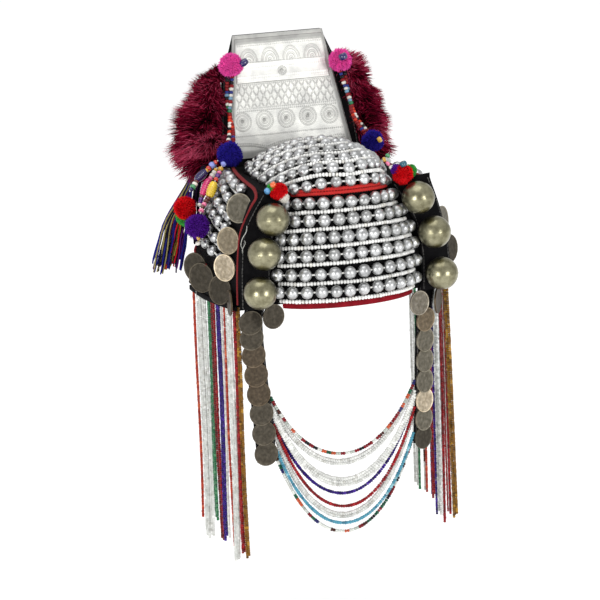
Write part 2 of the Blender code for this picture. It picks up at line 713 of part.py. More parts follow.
Lobe = namedtuple("Lobe", "x y z radius")
POMPOMS = {
    "pompom_pink_left": [Lobe(-54.7, 90.8, 200.8, 12.5)],
    "pompom_pink_right": [Lobe(55.7, 90.5, 197.9, 12)],
    "pompom_blue_left": [Lobe(-72.5, 53, 124, 13)],
    "pompom_blue_right": [Lobe(72.5, 53, 123, 11)],
    "pompom_red_left": [Lobe(-124, 37.9, 80.2, 11.3)],
    "pompom_green_left": [Lobe(-120.9, 52.8, 67.4, 9.5)],
    "pompom_purple_left": [Lobe(-121.9, 14, 67, 11.3)],
    "pompoms_front_left": [Lobe(-64.9, -59.6, 106.9, 8.5), Lobe(-60.9, -60.6, 100.4, 5.5), Lobe(-69.9, -56.6, 109.9, 5.5)],
    "pompoms_front_right": [Lobe(58, -57.5, 110.3, 10), Lobe(52.5, -55, 114.3, 6), Lobe(67.5, -53, 111.8, 6.5)],
}


def build_pompoms():
    """Clipped wool balls: each is a sphere whose tufts stand a little in or out."""
    for name, lobes in POMPOMS.items():
        colour = name.split("_")[1]
        pieces, finish = [], material("wool_red" if colour == "front" else f"wool_{colour}")
        for lobe in lobes:
            bm = bmesh.new()
            tufts = 2 if lobe.radius > 7 else 1
            bmesh.ops.create_icosphere(bm, subdivisions=tufts, radius=lobe.radius * MM)
            for vert in bm.verts:
                vert.co *= random.uniform(0.94, 1.0)
            bmesh.ops.translate(bm, verts=bm.verts, vec=Vector(in_metres(lobe[:3])))
            pieces.append(from_bmesh(name if len(lobes) == 1 else "lobe", bm, finish))
        if len(pieces) > 1:
            fuse(name, pieces, finish)


# Strings of large glass beads between the left blue pompom and the hanging pompoms: middle
# line and radius.
BEAD_STRINGS = {
    "bead_string_blue": [(-84.8, 51.6, 119.4, 2), (-90, 52, 116.4, 3.6), (-95.5, 51, 112, 3.4),
                         (-101, 50, 108.5, 4.2), (-106.5, 48, 105, 4.6), (-112, 45, 99, 3.4),
                         (-117.5, 42, 94.5, 3)],
    "bead_string_pink": [(-87.4, 48, 113.3, 1.8), (-92.4, 46, 107.8, 2.6), (-97.4, 44, 102.3, 4.2),
                         (-100.9, 42.5, 97.8, 4.6), (-104.4, 40.5, 92.3, 4.2), (-107.4, 38.5, 87.3, 2.2),
                         (-110.9, 35, 80.8, 2.6)],
    "bead_string_yellow": [(-86, 38, 116.5, 1.8), (-90.5, 35, 109.5, 2.6), (-96.5, 31.5, 102, 3.8),
                           (-100, 29.5, 96, 4.4), (-104, 27, 90, 3.8), (-111.5, 21.5, 83.5, 2.2),
                           (-116.5, 16, 78, 2.4)],
}


def build_bead_strings():
    for name, rows in BEAD_STRINGS.items():
        points = [Vector(in_metres(row[:3])) for row in rows]
        colour = name.split("_")[2]
        tube(name, points, MM, material(f"{colour}_glass"), radii=[row[3] for row in rows])


FurSpot = namedtuple("FurSpot", "y z half deep lock")
# The fur strips from the top down: body half-width and depth, and length of the locks. Each
# strip starts at the board's edge.
FURS = {
    "left": [FurSpot(107, 195, 4, 5, 4), FurSpot(104, 184, 9, 9, 9), FurSpot(100, 165, 14, 13, 15),
             FurSpot(96, 142, 18, 15, 21), FurSpot(93, 122, 18, 15, 23), FurSpot(91, 106, 13, 12, 17),
             FurSpot(90, 95, 6, 6, 6)],
    "right": [FurSpot(107, 198, 5, 6, 9), FurSpot(104, 187, 10, 10, 12), FurSpot(100, 165, 12.5, 12, 10),
              FurSpot(96, 142, 14, 13, 11), FurSpot(93, 122, 14, 13, 14), FurSpot(91, 107, 12, 11, 17),
              FurSpot(90, 97, 6, 6, 8)],
}


def build_fur(side, word, finish):
    """A strip of long fur: a soft body with drooping locks on every side but the board's."""
    spots = FURS[word]
    points = flip([Vector((board_half(s.z * MM) + (s.half + 1) * MM, s.y * MM, s.z * MM))
                   for s in spots], side)
    bm = bmesh.new()
    loops = sweep(points, [s.half * MM for s in spots], [s.deep * MM for s in spots], 8,
                  Vector((1, 0, 0)))
    made = add_quads(bm, loops, closed=True)
    bm.faces.new(made[0])
    bm.faces.new(made[-1])
    bmesh.ops.recalc_face_normals(bm, faces=bm.faces)
    outer = [face for face in bm.faces if face.normal.x * side > -0.25 and abs(face.normal.z) < 0.8]
    for face in outer:
        spot = min(spots, key=lambda s, z=face.calc_center_median().z: abs(s.z * MM - z))
        away = (face.normal + Vector((0.5 * side, 0, -0.35))).normalized()
        length = spot.lock * MM * random.uniform(0.8, 1.05)
        tip = bmesh.ops.poke(bm, faces=[face])["verts"][0]
        tip.co += away * length
    from_bmesh(f"fur_{word}", bm, finish)


def build_yarn_tassel(finish):
    """Loose wool yarns hanging from under the left fur."""
    top = Vector(in_metres((-100.1, 90, 96.7)))
    bm = bmesh.new()
    bmesh.ops.create_icosphere(bm, subdivisions=1, radius=5 * MM, matrix=Matrix.Translation(top))
    pieces = [from_bmesh("head", bm, finish)]
    for k in range(9):
        spread = k - 4
        end = Vector(in_metres((-128 - 2.8 * spread, 90 + 4 * math.sin(2.4 * k), 12 - 3 * math.cos(1.7 * k))))
        middle = top.lerp(end, 0.5) + Vector(in_metres((-3 - spread, 0, 4)))
        points = [top, middle, end]
        sizes = [2.2 * MM, 2.6 * MM, 2 * MM]
        pieces.append(lofted("yarn", sweep(points, sizes, sizes, 5, Vector((0, 1, 0))), finish))
    fuse("yarn_tassel_left", pieces, finish)


def build_all():
    clear_scene()
    build_cap(material("black_cloth"))
    build_front_hem(material("red_cloth"))
    build_fields(material("silver_beads"))
    build_crown_cord(material("red_cord"))
    for side, word in ((1, "right"), (-1, "left")):
        build_strip(side, word, material("black_cloth"))
        build_side_cord(side, word, material("red_cord"))
        build_balls(side, word, material("nickel"))
        build_strap(side, word, material("black_cloth"))
        build_strap_coins(side, word, material("dark_coin"))
        build_edge_string(side, word, material("mixed_beads"))
        build_bead_tassel(side, word, material("mixed_beads"))
        build_fur(side, word, material("fur"))
    build_board(material("black_cloth"))
    build_plate(material("silver_sheet"))
    build_loose_coins()
    build_chin_strands()
    build_pompoms()
    build_bead_strings()
    build_yarn_tassel(material("yarn"))


build_all()
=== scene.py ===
"""Akha headdress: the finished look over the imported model. Metres, +Z up, front towards -Y.

The shape tables and functions repeat the model's own, so that bead rows, coins and cords lie on
their solids. Tables are in millimetres.
"""

import math
import random
from collections import namedtuple

import bmesh
import bpy
import numpy as np
from mathutils import Matrix, Vector, noise


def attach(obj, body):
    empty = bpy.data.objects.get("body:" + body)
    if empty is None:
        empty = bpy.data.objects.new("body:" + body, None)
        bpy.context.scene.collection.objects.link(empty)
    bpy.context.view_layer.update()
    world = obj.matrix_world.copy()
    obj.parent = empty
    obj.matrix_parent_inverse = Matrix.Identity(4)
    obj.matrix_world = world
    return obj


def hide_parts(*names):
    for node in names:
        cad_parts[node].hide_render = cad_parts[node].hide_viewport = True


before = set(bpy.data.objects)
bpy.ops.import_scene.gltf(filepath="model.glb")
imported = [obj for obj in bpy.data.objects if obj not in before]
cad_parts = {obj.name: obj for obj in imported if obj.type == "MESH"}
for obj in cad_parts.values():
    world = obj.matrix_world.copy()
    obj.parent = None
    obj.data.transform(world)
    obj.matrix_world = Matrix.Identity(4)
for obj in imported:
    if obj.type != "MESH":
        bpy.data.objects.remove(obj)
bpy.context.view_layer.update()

MM = 0.001
SIDES = ((1, "right"), (-1, "left"))

# The model's own shape

GAP = 0.4 * MM
CAP_WALL = 2.5 * MM
ARC_END = math.radians(68)
CORNER = 12 * MM
SIDE_BULGE = 6 * MM
SIDE_RISE = {"left": 4 * MM, "right": -1.5 * MM}
STRIP_GAP, STRIP_THICK = 1.2 * MM, 3 * MM
STRIP_PROUD = {"left": 2 * MM, "right": 5 * MM}
STRIP_START = 0.25
FACET_WIDTH = 36 * MM
WALL_HEIGHT = 107 * MM
CORD_RADIUS = 1.7 * MM
BALL_RADIUS = 15.5 * MM
PLATE_BOTTOM, PLATE_TOP = 113, 227
PLATE_HALF_BOTTOM, PLATE_HALF_TOP = 63.5, 46
PLATE_THICK = 1.2
BOARD_Y, BOARD_BOTTOM, BOARD_THICK = 79.7, 78, 3
BEND_Z, LEAN = 106, 0.265
STRAP_HALF, STRAP_THICK = 9.5 * MM, 2.2 * MM
STRAP_TOP, STRAP_FOOT = -0.6, -153
COIN_THICK = 1.8 * MM
STRAP_COIN_RADIUS = 11.7 * MM

# Four rings of the cap's wall, hem to crown. Panel: where the forehead rows end. Strip: the front
# corner of the side. Back: the rear corner. Rear: the middle of the back.
Level = namedtuple("Level", "front_y front_z panel_x panel_y panel_z strip_x strip_y strip_z "
                            "back_x back_y back_z rear_y rear_z")
LEVELS = [
    Level(-79, 0, 64, -55, 0, 101, -49, 0, 112, 84, 0, 86, 0),
    Level(-80, 35, 65, -55, 33, 99.5, -48, 36, 104, 80, 36, 82.5, 37),
    Level(-77, 70, 59, -52, 66, 93.5, -45, 71, 89, 76.5, 75, 79, 76),
    Level(-70, 104, 45, -37, 97, 81, -53, 104, 66, 74, 107, 77, 107),
]
# The crown's middle line from the forehead cord to the plate, at even steps.
Crest = namedtuple("Crest", "y z")
CREST = [Crest(-70, 104), Crest(-65, 121), Crest(-48, 129), Crest(-25, 132.5),
         Crest(0, 133), Crest(24, 130.5), Crest(48, 124.5), Crest(71, 112.5)]
CROWN_BACK = (52, 62, 104)
CROWN_EDGE_BULGE = 4
INSIDE = Vector((0, 0, 40 * MM))


def in_metres(row):
    return [value * MM for value in row]


def place_of(row):
    """A place from a row that starts with x, y and z in millimetres."""
    return Vector(in_metres(row[:3]))


def blend_rows(rows, t):
    """Smooth value of a table at t from 0 to 1, passing through every row."""
    place = min(max(t, 0.0), 1.0) * (len(rows) - 1)
    index = min(int(place), len(rows) - 2)
    f = place - index
    near = [rows[max(0, min(len(rows) - 1, index + k))] for k in (-1, 0, 1, 2)]
    return [q + 0.5 * f * (r - p + f * (2 * p - 5 * q + 4 * r - s + f * (3 * (q - r) + s - p)))
            for p, q, r, s in zip(*near)]


def smooth_path(points, count):
    rows = [tuple(p) for p in points]
    return [Vector(blend_rows(rows, i / (count - 1))) for i in range(count)]


def mix(a, b, t):
    return a + (b - a) * t


def even(low, high, count):
    return [mix(low, high, i / (count - 1)) for i in range(count)]


def turns(sides):
    """Even angles round a circle."""
    return [2 * math.pi * k / sides for k in range(sides)]


def round_z(radius, angle, height):
    """A place at this radius and angle round Z."""
    return Vector((radius * math.cos(angle), radius * math.sin(angle), height))


def arc(end, middle, a):
    turn = a * ARC_END
    reach = (math.cos(turn) - math.cos(ARC_END)) / (1 - math.cos(ARC_END))
    across = end[0] * math.sin(turn) / math.sin(ARC_END)
    return Vector((across, mix(end[1], middle[0], reach), mix(end[2], middle[1], reach)))


def level(v):
    return Level(*in_metres(blend_rows(LEVELS, v)))


def front_point(a, v):
    row = level(v)
    return arc((row.panel_x, row.panel_y, row.panel_z), (row.front_y, row.front_z), a)


def facet_point(f, v):
    row = level(v)
    inner = Vector((row.panel_x, row.panel_y, row.panel_z))
    return inner.lerp(Vector((row.strip_x, row.strip_y, row.strip_z)), f)


def side_point(u, v, word="right"):
    row = level(v)
    start = Vector((row.strip_x, row.strip_y, row.strip_z))
    point = start.lerp(Vector((row.back_x, row.back_y - CORNER, row.back_z)), u)
    point.x += SIDE_BULGE * math.sin(math.pi * u)
    point.z += SIDE_RISE[word] * v * math.sin(math.pi * u)
    return point


def left_side(u, v):
    point = side_point(u, v, "left")
    return Vector((-point.x, point.y, point.z))


def corner_point(t, v):
    row = level(v)
    turn = t * math.pi / 2
    return Vector((row.back_x - CORNER * (1 - math.cos(turn)),
                   row.back_y - CORNER * (1 - math.sin(turn)), row.back_z))


def back_point(a, v):
    row = level(v)
    reach = math.cos(a * math.pi / 2)
    return Vector(((row.back_x - CORNER) * a, mix(row.back_y, row.rear_y, reach),
                   mix(row.back_z, row.rear_z, reach)))


def crown_edge(b):
    row = level(1.0)
    start = Vector((row.panel_x, row.panel_y, row.panel_z))
    point = start.lerp(place_of(CROWN_BACK), b)
    point.x += CROWN_EDGE_BULGE * MM * math.sin(math.pi * b)
    return point


def crown_point(a, b):
    return arc(crown_edge(b), in_metres(blend_rows(CREST, b)), a)


def outward(surface, a, b):
    step = 0.01
    here = surface(a, b)
    along = surface(a + step, b) - surface(a - step, b)
    up = surface(a, min(b + step, 1.0)) - surface(a, max(b - step, 0.0))
    normal = along.cross(up).normalized()
    return normal if normal.dot(here - INSIDE) > 0 else -normal


def facet_normal(v):
    return outward(facet_point, 0.5, v)


def on_facet(f, v, height):
    """A place this far off the facet between the front and the side."""
    return facet_point(f, v) + facet_normal(v) * height


def off_cloth(surface, a, b, height):
    """A place this far off one of the cap's surfaces."""
    return surface(a, b) + outward(surface, a, b) * height


def strip_reach(word):
    """Where a strip's outer edge lies, as a share of the facet's width."""
    return 1 + STRIP_PROUD[word] / FACET_WIDTH


def flip(points, side):
    return [Vector((p.x * side, p.y, p.z)) for p in points]


def board_front(z):
    return BOARD_Y + max(0.0, z - BEND_Z) * LEAN


def plate_half(z):
    return mix(PLATE_HALF_BOTTOM, PLATE_HALF_TOP, (z - PLATE_BOTTOM) / (PLATE_TOP - PLATE_BOTTOM))


# How far the board stands out past the plate: height and margin.
BOARD_MARGIN = [(78, -4), (106, 6), (140, 9.5), (185, 9), (206, 4), (227, -1)]


def board_half(z):
    for (low, near), (high, far) in zip(BOARD_MARGIN, BOARD_MARGIN[1:]):
        if z <= high:
            return plate_half(z) + mix(near, far, (z - low) / (high - low))
    return plate_half(z) - 1


# Middle line of each strap, mirrored to +X, and how far it is turned outwards in degrees.
Bend = namedtuple("Bend", "x y z turn")
STRAP_PATHS = {
    "left": [Bend(87, -45.4, STRAP_TOP, 0), Bend(89.7, -43, -14, 0), Bend(88.7, -41, -34, 0),
             Bend(85.7, -40, -70, 0), Bend(82, -39.5, -110, 0), Bend(79, -39, STRAP_FOOT, 0)],
    "right": [Bend(84, -45.4, STRAP_TOP, 8), Bend(83, -43, -14, 15), Bend(81, -41, -34, 24),
              Bend(79.5, -40, -70, 26), Bend(78.5, -39.5, -110, 26), Bend(76, -39, STRAP_FOOT, 26)],
}


def strap_at(z, word):
    """Middle of a strap at a height, with its downward, sideways and outward directions."""
    path = [(place_of(row), row.turn) for row in STRAP_PATHS[word]]
    spans = [(high, low) for high, low in zip(path, path[1:]) if z >= low[0].z] or [path[-2:]]
    (high, high_turn), (low, low_turn) = spans[0]
    t = (high.z - z) / (high.z - low.z)
    down = (low - high).normalized()
    turn = math.radians(mix(high_turn, low_turn, t))
    side = Vector((math.cos(turn), math.sin(turn), 0))
    return high.lerp(low, t), down, side, side.cross(-down).normalized()


def tassel_line(y, word):
    row = level(0)
    u = min(max((y - row.strip_y) / (row.back_y - CORNER - row.strip_y), 0.0), 1.0)
    out = 6 * MM * (1 - u) if word == "right" else 0
    return Vector((side_point(u, 0).x - CAP_WALL / 2 + out, y, 0))


# Node trees


def add(tree, kind, wires=None, **settings):
    """A node with its settings and its inputs, each a value or another node's socket."""
    made = tree.nodes.new(kind)
    for key, value in settings.items():
        setattr(made, key, value)
    for key, value in (wires or {}).items():
        if isinstance(value, bpy.types.NodeSocket):
            tree.links.new(value, made.inputs[key])
        else:
            made.inputs[key].default_value = value
    return made


def ramp(tree, factor, stops, constant=False):
    """A colour ramp through (place, colour) stops."""
    made = add(tree, "ShaderNodeValToRGB", {"Fac": factor})
    made.color_ramp.interpolation = "CONSTANT" if constant else "LINEAR"
    points = made.color_ramp.elements
    while len(points) < len(stops):
        points.new(1.0)
    for point, (place, colour) in zip(points, stops):
        point.position = place
        point.color = (*colour, 1.0)
    return made.outputs["Color"]


SOCKETS = {"object": "NodeSocketObject", "material": "NodeSocketMaterial", "float": "NodeSocketFloat",
           "int": "NodeSocketInt", "vector": "NodeSocketVector"}


def geometry_tree(name, inputs):
    """An empty tree with a geometry in and out and the named inputs, and its input sockets."""
    tree = bpy.data.node_groups.new(name, "GeometryNodeTree")
    tree.interface.new_socket("Geometry", in_out="INPUT", socket_type="NodeSocketGeometry")
    for label, kind in inputs.items():
        tree.interface.new_socket(label, in_out="INPUT", socket_type=SOCKETS[kind])
    tree.interface.new_socket("Geometry", in_out="OUTPUT", socket_type="NodeSocketGeometry")
    return tree, add(tree, "NodeGroupInput").outputs


def end_tree(tree, instances, tint, material):
    """Tint the instances, make them real, give them their material and end the tree."""
    tinted = add(tree, "GeometryNodeStoreNamedAttribute",
                 {"Geometry": instances, "Name": "tint", "Value": tint},
                 data_type="FLOAT_COLOR", domain="INSTANCE")
    real = add(tree, "GeometryNodeRealizeInstances", {"Geometry": tinted.outputs[0]})
    painted = add(tree, "GeometryNodeSetMaterial", {"Geometry": real.outputs[0], "Material": material})
    add(tree, "NodeGroupOutput", {"Geometry": painted.outputs[0]})
    return tree


def random_float(tree, low, high, seed, key=None):
    made = add(tree, "FunctionNodeRandomValue", {2: low, 3: high, "Seed": seed}, data_type="FLOAT")
    if key is not None:
        tree.links.new(key, made.inputs["ID"])
    return made.outputs[1]


def random_vector(tree, low, high, seed):
    return add(tree, "FunctionNodeRandomValue", {0: low, 1: high, "Seed": seed},
               data_type="FLOAT_VECTOR").outputs[0]


def spun(tree, rotation, seed):
    """A rotation with a random turn about its own axis."""
    spin = random_vector(tree, (0, 0, 0), (0, 0, 6.28), seed)
    return add(tree, "FunctionNodeRotateRotation", {"Rotation": rotation, "Rotate By": spin},
               rotation_space="LOCAL").outputs[0]


def on_points(tree, points, form, rotation, scale):
    """Instances of an object on points."""
    shape = add(tree, "GeometryNodeObjectInfo", {"Object": form})
    return add(tree, "GeometryNodeInstanceOnPoints",
               {"Points": points, "Instance": shape.outputs["Geometry"],
                "Rotation": rotation, "Scale": scale}).outputs[0]


def math_node(tree, operation, a, b):
    return add(tree, "ShaderNodeMath", {0: a, 1: b}, operation=operation).outputs[0]


def vector_math(tree, operation, a, b=None, scale=None):
    wires = {0: a}
    if b is not None:
        wires[1] = b
    if scale is not None:
        wires["Scale"] = scale
    return add(tree, "ShaderNodeVectorMath", wires, operation=operation).outputs[0]


def bead_tree(name, palette):
    """Beads threaded along lines: evenly spaced, each a little different in size and place."""
    tree, given = geometry_tree(name, {"Bead": "object", "Spacing": "float", "Size": "float",
                                       "Unevenness": "float", "Slack": "float", "Run": "float",
                                       "Seed": "int", "Finish": "material"})
    seed, slack, spread = given["Seed"], given["Slack"], given["Unevenness"]
    line = add(tree, "GeometryNodeMeshToCurve", {"Mesh": given["Geometry"]})
    points = add(tree, "GeometryNodeCurveToPoints",
                 {"Curve": line.outputs[0], "Length": given["Spacing"]}, mode="LENGTH").outputs
    shift = random_float(tree, math_node(tree, "MULTIPLY", slack, -1.0), slack, seed)
    offset = vector_math(tree, "SCALE", points["Tangent"], scale=shift)
    wobble = vector_math(tree, "SCALE", random_vector(tree, (-1, -1, -1), (1, 1, 1), seed),
                         scale=math_node(tree, "MULTIPLY", slack, 0.35))
    placed = add(tree, "GeometryNodeSetPosition",
                 {"Geometry": points["Points"], "Offset": vector_math(tree, "ADD", offset, wobble)})
    size = random_float(tree, math_node(tree, "SUBTRACT", 1.0, spread),
                        math_node(tree, "ADD", 1.0, spread), math_node(tree, "ADD", seed, 3.0))
    beads = on_points(tree, placed.outputs[0], given["Bead"], spun(tree, points["Rotation"], seed),
                      math_node(tree, "MULTIPLY", size, given["Size"]))
    index = add(tree, "GeometryNodeInputIndex").outputs[0]
    group = math_node(tree, "FLOOR", math_node(tree, "DIVIDE", index, given["Run"]), 0.0)
    pick = random_float(tree, 0.0, 1.0, math_node(tree, "ADD", seed, 5.0), group)
    share, stops = 0.0, []
    for weight, colour in palette:
        stops.append((share, colour))
        share += weight
    return end_tree(tree, beads, ramp(tree, pick, stops, constant=True), given["Finish"])


def fibre_tree(name, palette):
    """Fibres over a skin: along its normals, pulled into tufts, leaning where the skin says."""
    tree, given = geometry_tree(name, {"Fibre": "object", "Density": "float", "Length": "float",
                                       "Spread": "float", "Tuft size": "float", "Tuft pull": "float",
                                       "Fray": "float", "Patch size": "float", "Seed": "int",
                                       "Finish": "material"})
    seed = given["Seed"]
    spots = add(tree, "GeometryNodeDistributePointsOnFaces",
                {"Mesh": given["Geometry"], "Density": given["Density"], "Seed": seed}).outputs
    place = add(tree, "GeometryNodeInputPosition").outputs[0]
    tufts, patches = (add(tree, "ShaderNodeTexNoise", {"Vector": place, "Scale": given[scale],
                                                       "Detail": 1.0}).outputs
                      for scale in ("Tuft size", "Patch size"))
    pull = vector_math(tree, "SCALE", vector_math(tree, "SUBTRACT", tufts["Color"], (0.5, 0.5, 0.5)),
                       scale=given["Tuft pull"])
    loose = vector_math(tree, "SCALE", random_vector(tree, (-1, -1, -1), (1, 1, 1), seed),
                        scale=given["Fray"])
    lean = add(tree, "GeometryNodeInputNamedAttribute", {"Name": "lean"}, data_type="FLOAT_VECTOR")
    reach = add(tree, "GeometryNodeInputNamedAttribute", {"Name": "reach"}, data_type="FLOAT")
    way = vector_math(tree, "ADD", vector_math(tree, "ADD", spots["Normal"], lean.outputs[0]),
                      vector_math(tree, "ADD", pull, loose))
    turned = add(tree, "FunctionNodeAlignRotationToVector", {"Vector": way}, axis="Z").outputs[0]
    shortest = math_node(tree, "SUBTRACT", 1.0, given["Spread"])
    length = math_node(tree, "MULTIPLY", random_float(tree, shortest, 1.0, seed),
                       math_node(tree, "MULTIPLY", given["Length"], reach.outputs[0]))
    tall = math_node(tree, "MULTIPLY", length, math_node(tree, "ADD", tufts["Fac"], 0.5))
    size = add(tree, "ShaderNodeCombineXYZ", {0: 1.0, 1: 1.0, 2: tall}).outputs[0]
    hairs = on_points(tree, spots["Points"], given["Fibre"], spun(tree, turned, seed), size)
    uneven = random_float(tree, -0.3, 0.3, math_node(tree, "ADD", seed, 5.0))
    pick = math_node(tree, "ADD", uneven, patches[0])
    return end_tree(tree, hairs, ramp(tree, pick, palette), given["Finish"])


def grown(host, tree, **values):
    """Run a tree on a host with these inputs, and keep the result as the host's plain mesh."""
    run = host.modifiers.new("grow", "NODES")
    run.node_group = tree
    for item in tree.interface.items_tree:
        if item.in_out == "INPUT" and item.name in values:
            run[item.identifier] = values[item.name]
    graph = bpy.context.evaluated_depsgraph_get()
    graph.update()
    mesh = bpy.data.meshes.new_from_object(host.evaluated_get(graph))
    host.modifiers.clear()
    old, host.data = host.data, mesh
    mesh.name = host.name
    bpy.data.meshes.remove(old)
    return host


# Finishes


def dye(red, green, blue):
    """Linear colour from the 0 to 255 values seen on a screen."""
    return tuple((c / 255 / 12.92 if c < 11 else ((c / 255 + 0.055) / 1.055) ** 2.4)
                 for c in (red, green, blue))


def finish(name, **sockets):
    made = bpy.data.materials.new(name)
    made.use_nodes = True
    tree = made.node_tree
    tree.nodes.clear()
    shader = add(tree, "ShaderNodeBsdfPrincipled", {k.replace("_", " "): v for k, v in sockets.items()})
    add(tree, "ShaderNodeOutputMaterial", {"Surface": shader.outputs[0]})
    return made, tree, shader


def spot_of(tree):
    return add(tree, "ShaderNodeTexCoord").outputs["Object"]


def clouds(tree, size, detail=3.0, rough=0.55):
    """Soft noise whose patches are about this many millimetres across."""
    return add(tree, "ShaderNodeTexNoise", {"Vector": spot_of(tree), "Scale": 1000 / size,
                                            "Detail": detail, "Roughness": rough}).outputs[0]


def attribute(tree, name, output="Color"):
    return add(tree, "ShaderNodeAttribute", attribute_name=name).outputs[output]


def blend(tree, factor, a, b, kind="MIX"):
    made = add(tree, "ShaderNodeMix", data_type="RGBA", blend_type=kind)
    for index, value in ((0, factor), (6, a), (7, b)):
        if isinstance(value, bpy.types.NodeSocket):
            tree.links.new(value, made.inputs[index])
        else:
            made.inputs[index].default_value = (*value, 1.0) if index else value
    return made.outputs[2]


def grey_ramp(tree, factor, stops):
    """A ramp of greys through (place, share) stops."""
    return ramp(tree, factor, [(place, (share,) * 3) for place, share in stops])


def coloured(tree, shader, *layers):
    """Wire colour layers, multiplied together, to the shader."""
    colour = layers[0]
    for layer in layers[1:]:
        colour = blend(tree, 1.0, colour, layer, "MULTIPLY")
    tree.links.new(colour, shader.inputs["Base Color"])


def roughened(tree, shader, factor, low, high):
    made = add(tree, "ShaderNodeMapRange", {"Value": factor, "To Min": low, "To Max": high})
    tree.links.new(made.outputs[0], shader.inputs["Roughness"])


def bumped(tree, shader, height, depth):
    made = add(tree, "ShaderNodeBump", {"Height": height, "Distance": depth * MM, "Strength": 1.0})
    tree.links.new(made.outputs[0], shader.inputs["Normal"])


def cloth_finish(name, dark, light, thread=0.75):
    """Plain woven cotton, with crossing threads and rubbed patches."""
    made, tree, shader = finish(name, Roughness=0.88, Specular_IOR_Level=0.08)
    where = spot_of(tree)
    bands = [add(tree, "ShaderNodeTexWave", {"Vector": where, "Scale": 314 / thread, "Distortion": 0.6,
                                             "Detail": 1.0}, bands_direction=way).outputs[1]
             for way in ("DIAGONAL", "Z")]
    threads = math_node(tree, "MAXIMUM", *bands)
    rubbed = ramp(tree, clouds(tree, 9), [(0.35, dark), (0.75, light)])
    coloured(tree, shader, blend(tree, math_node(tree, "MULTIPLY", threads, 0.35), rubbed, light))
    bumped(tree, shader, threads, 0.12)
    return made


def tinted_finish(name, roughness, coat=0.0, sheen=0.0, grain=1.2, depth=0.04, gloss=0.5):
    """A finish whose colour each bead or yarn carries, with a little unevenness."""
    made, tree, shader = finish(name, Coat_Weight=coat, Coat_Roughness=0.08, Sheen_Weight=sheen,
                                Sheen_Roughness=0.5, Specular_IOR_Level=gloss)
    patches = clouds(tree, grain * 4)
    shade = grey_ramp(tree, patches, ((0.3, 0.72), (0.7, 1.12)))
    coloured(tree, shader, attribute(tree, "tint"), shade)
    roughened(tree, shader, patches, roughness * 0.75, roughness * 1.3)
    bumped(tree, shader, clouds(tree, grain), depth)
    return made


def fibre_finish(name, root, roughness=0.75):
    """Wool or hair: darker towards the roots, painted shade deep in the pile, and paler at the tips."""
    made, tree, shader = finish(name, Roughness=roughness, Specular_IOR_Level=0.0)
    # Painted shade: the colour darkens from the tips down to the roots.
    shade = ramp(tree, attribute(tree, "along", "Fac"),
                 [(0.0, (root, root, root)), (0.6, (0.85, 0.85, 0.85)), (1.0, (1.2, 1.15, 1.15))])
    uneven = grey_ramp(tree, clouds(tree, 5), ((0.3, 0.75), (0.7, 1.1)))
    coloured(tree, shader, attribute(tree, "tint"), shade, uneven)
    return made


def metal_finish(name, dark, light, roughness, patch, relief=(), metallic=1.0):
    """Old white metal: dull in the hollows, brighter where rubbed; the hollows are partly painted shade."""
    made, tree, shader = finish(name, Metallic=metallic)
    tarnish = clouds(tree, patch, 5.0, 0.65)
    layers = [ramp(tree, tarnish, [(0.36, dark), (0.62, light)])]
    # Relief stops: a grey for each height of the embossing, partly wear and partly painted shade.
    if relief:
        layers.append(grey_ramp(tree, attribute(tree, "relief", "Fac"), relief))
    coloured(tree, shader, *layers, attribute(tree, "tint"))
    roughened(tree, shader, tarnish, roughness * 1.4, roughness * 0.8)
    bumped(tree, shader, clouds(tree, 1.6, 4.0), 0.05)
    return made


black_cotton = cloth_finish("black cotton", dye(6, 6, 7), dye(20, 19, 21))
red_binding = cloth_finish("red binding cloth", dye(92, 10, 18), dye(134, 20, 32), thread=0.6)
cord_cotton = tinted_finish("twisted red cotton", 0.85, grain=0.35, depth=0.12)
thread_cotton = tinted_finish("sewing thread", 0.8, sheen=0.2, grain=0.3, depth=0.05)
bead_silver = metal_finish("beaten silver bead", dye(150, 151, 152), dye(206, 207, 207), 0.29,
                           patch=5, metallic=0.92)
ball_nickel = metal_finish("tarnished nickel ball", dye(112, 108, 85), dye(154, 150, 124), 0.27, patch=9)
# The sheet's relief stops darken the flanks of the raised lines and the sunk rosette middles: painted shade.
plate_silver = metal_finish("embossed silver sheet", dye(222, 222, 218), dye(246, 246, 240), 0.45,
                            patch=14, metallic=0.5,
                            relief=((0.06, 0.4), (0.19, 0.72), (0.27, 0.9), (0.42, 0.44), (0.6, 0.78),
                                    (0.8, 1.0)))
# The coins' relief stops darken their hollows and edges, partly tarnish and partly painted shade.
coin_metal = metal_finish("worn coin metal", dye(176, 168, 152), dye(216, 209, 196), 0.42, patch=3.4,
                          relief=((0.0, 0.4), (0.75, 1.0)), metallic=0.75)
seed_glass = tinted_finish("seed bead glass", 0.3, coat=0.08, grain=1.5, depth=0.02, gloss=0.2)
# The number after each name is how much colour is left at the fibres' roots: painted shade.
pompom_wool = fibre_finish("pompom wool", 0.45)
fur_hair = fibre_finish("dyed fur", 0.3, 0.6)
yarn_wool = tinted_finish("wool yarn", 0.85, grain=0.5, depth=0.15, gloss=0.1)


# Making and dressing pieces


def piece_of(name, mesh):
    piece = bpy.data.objects.new(name, mesh)
    bpy.context.scene.collection.objects.link(piece)
    return piece


def mesh_ready(mesh, smooth):
    mesh.shade_smooth()
    mesh.set_sharp_from_angle(angle=math.radians(smooth))


def from_bmesh(name, bm, smooth=40):
    """A piece from a closed body, its faces turned outwards."""
    bmesh.ops.recalc_face_normals(bm, faces=bm.faces)
    mesh = bpy.data.meshes.new(name)
    bm.to_mesh(mesh)
    bm.free()
    mesh_ready(mesh, smooth)
    return piece_of(name, mesh)


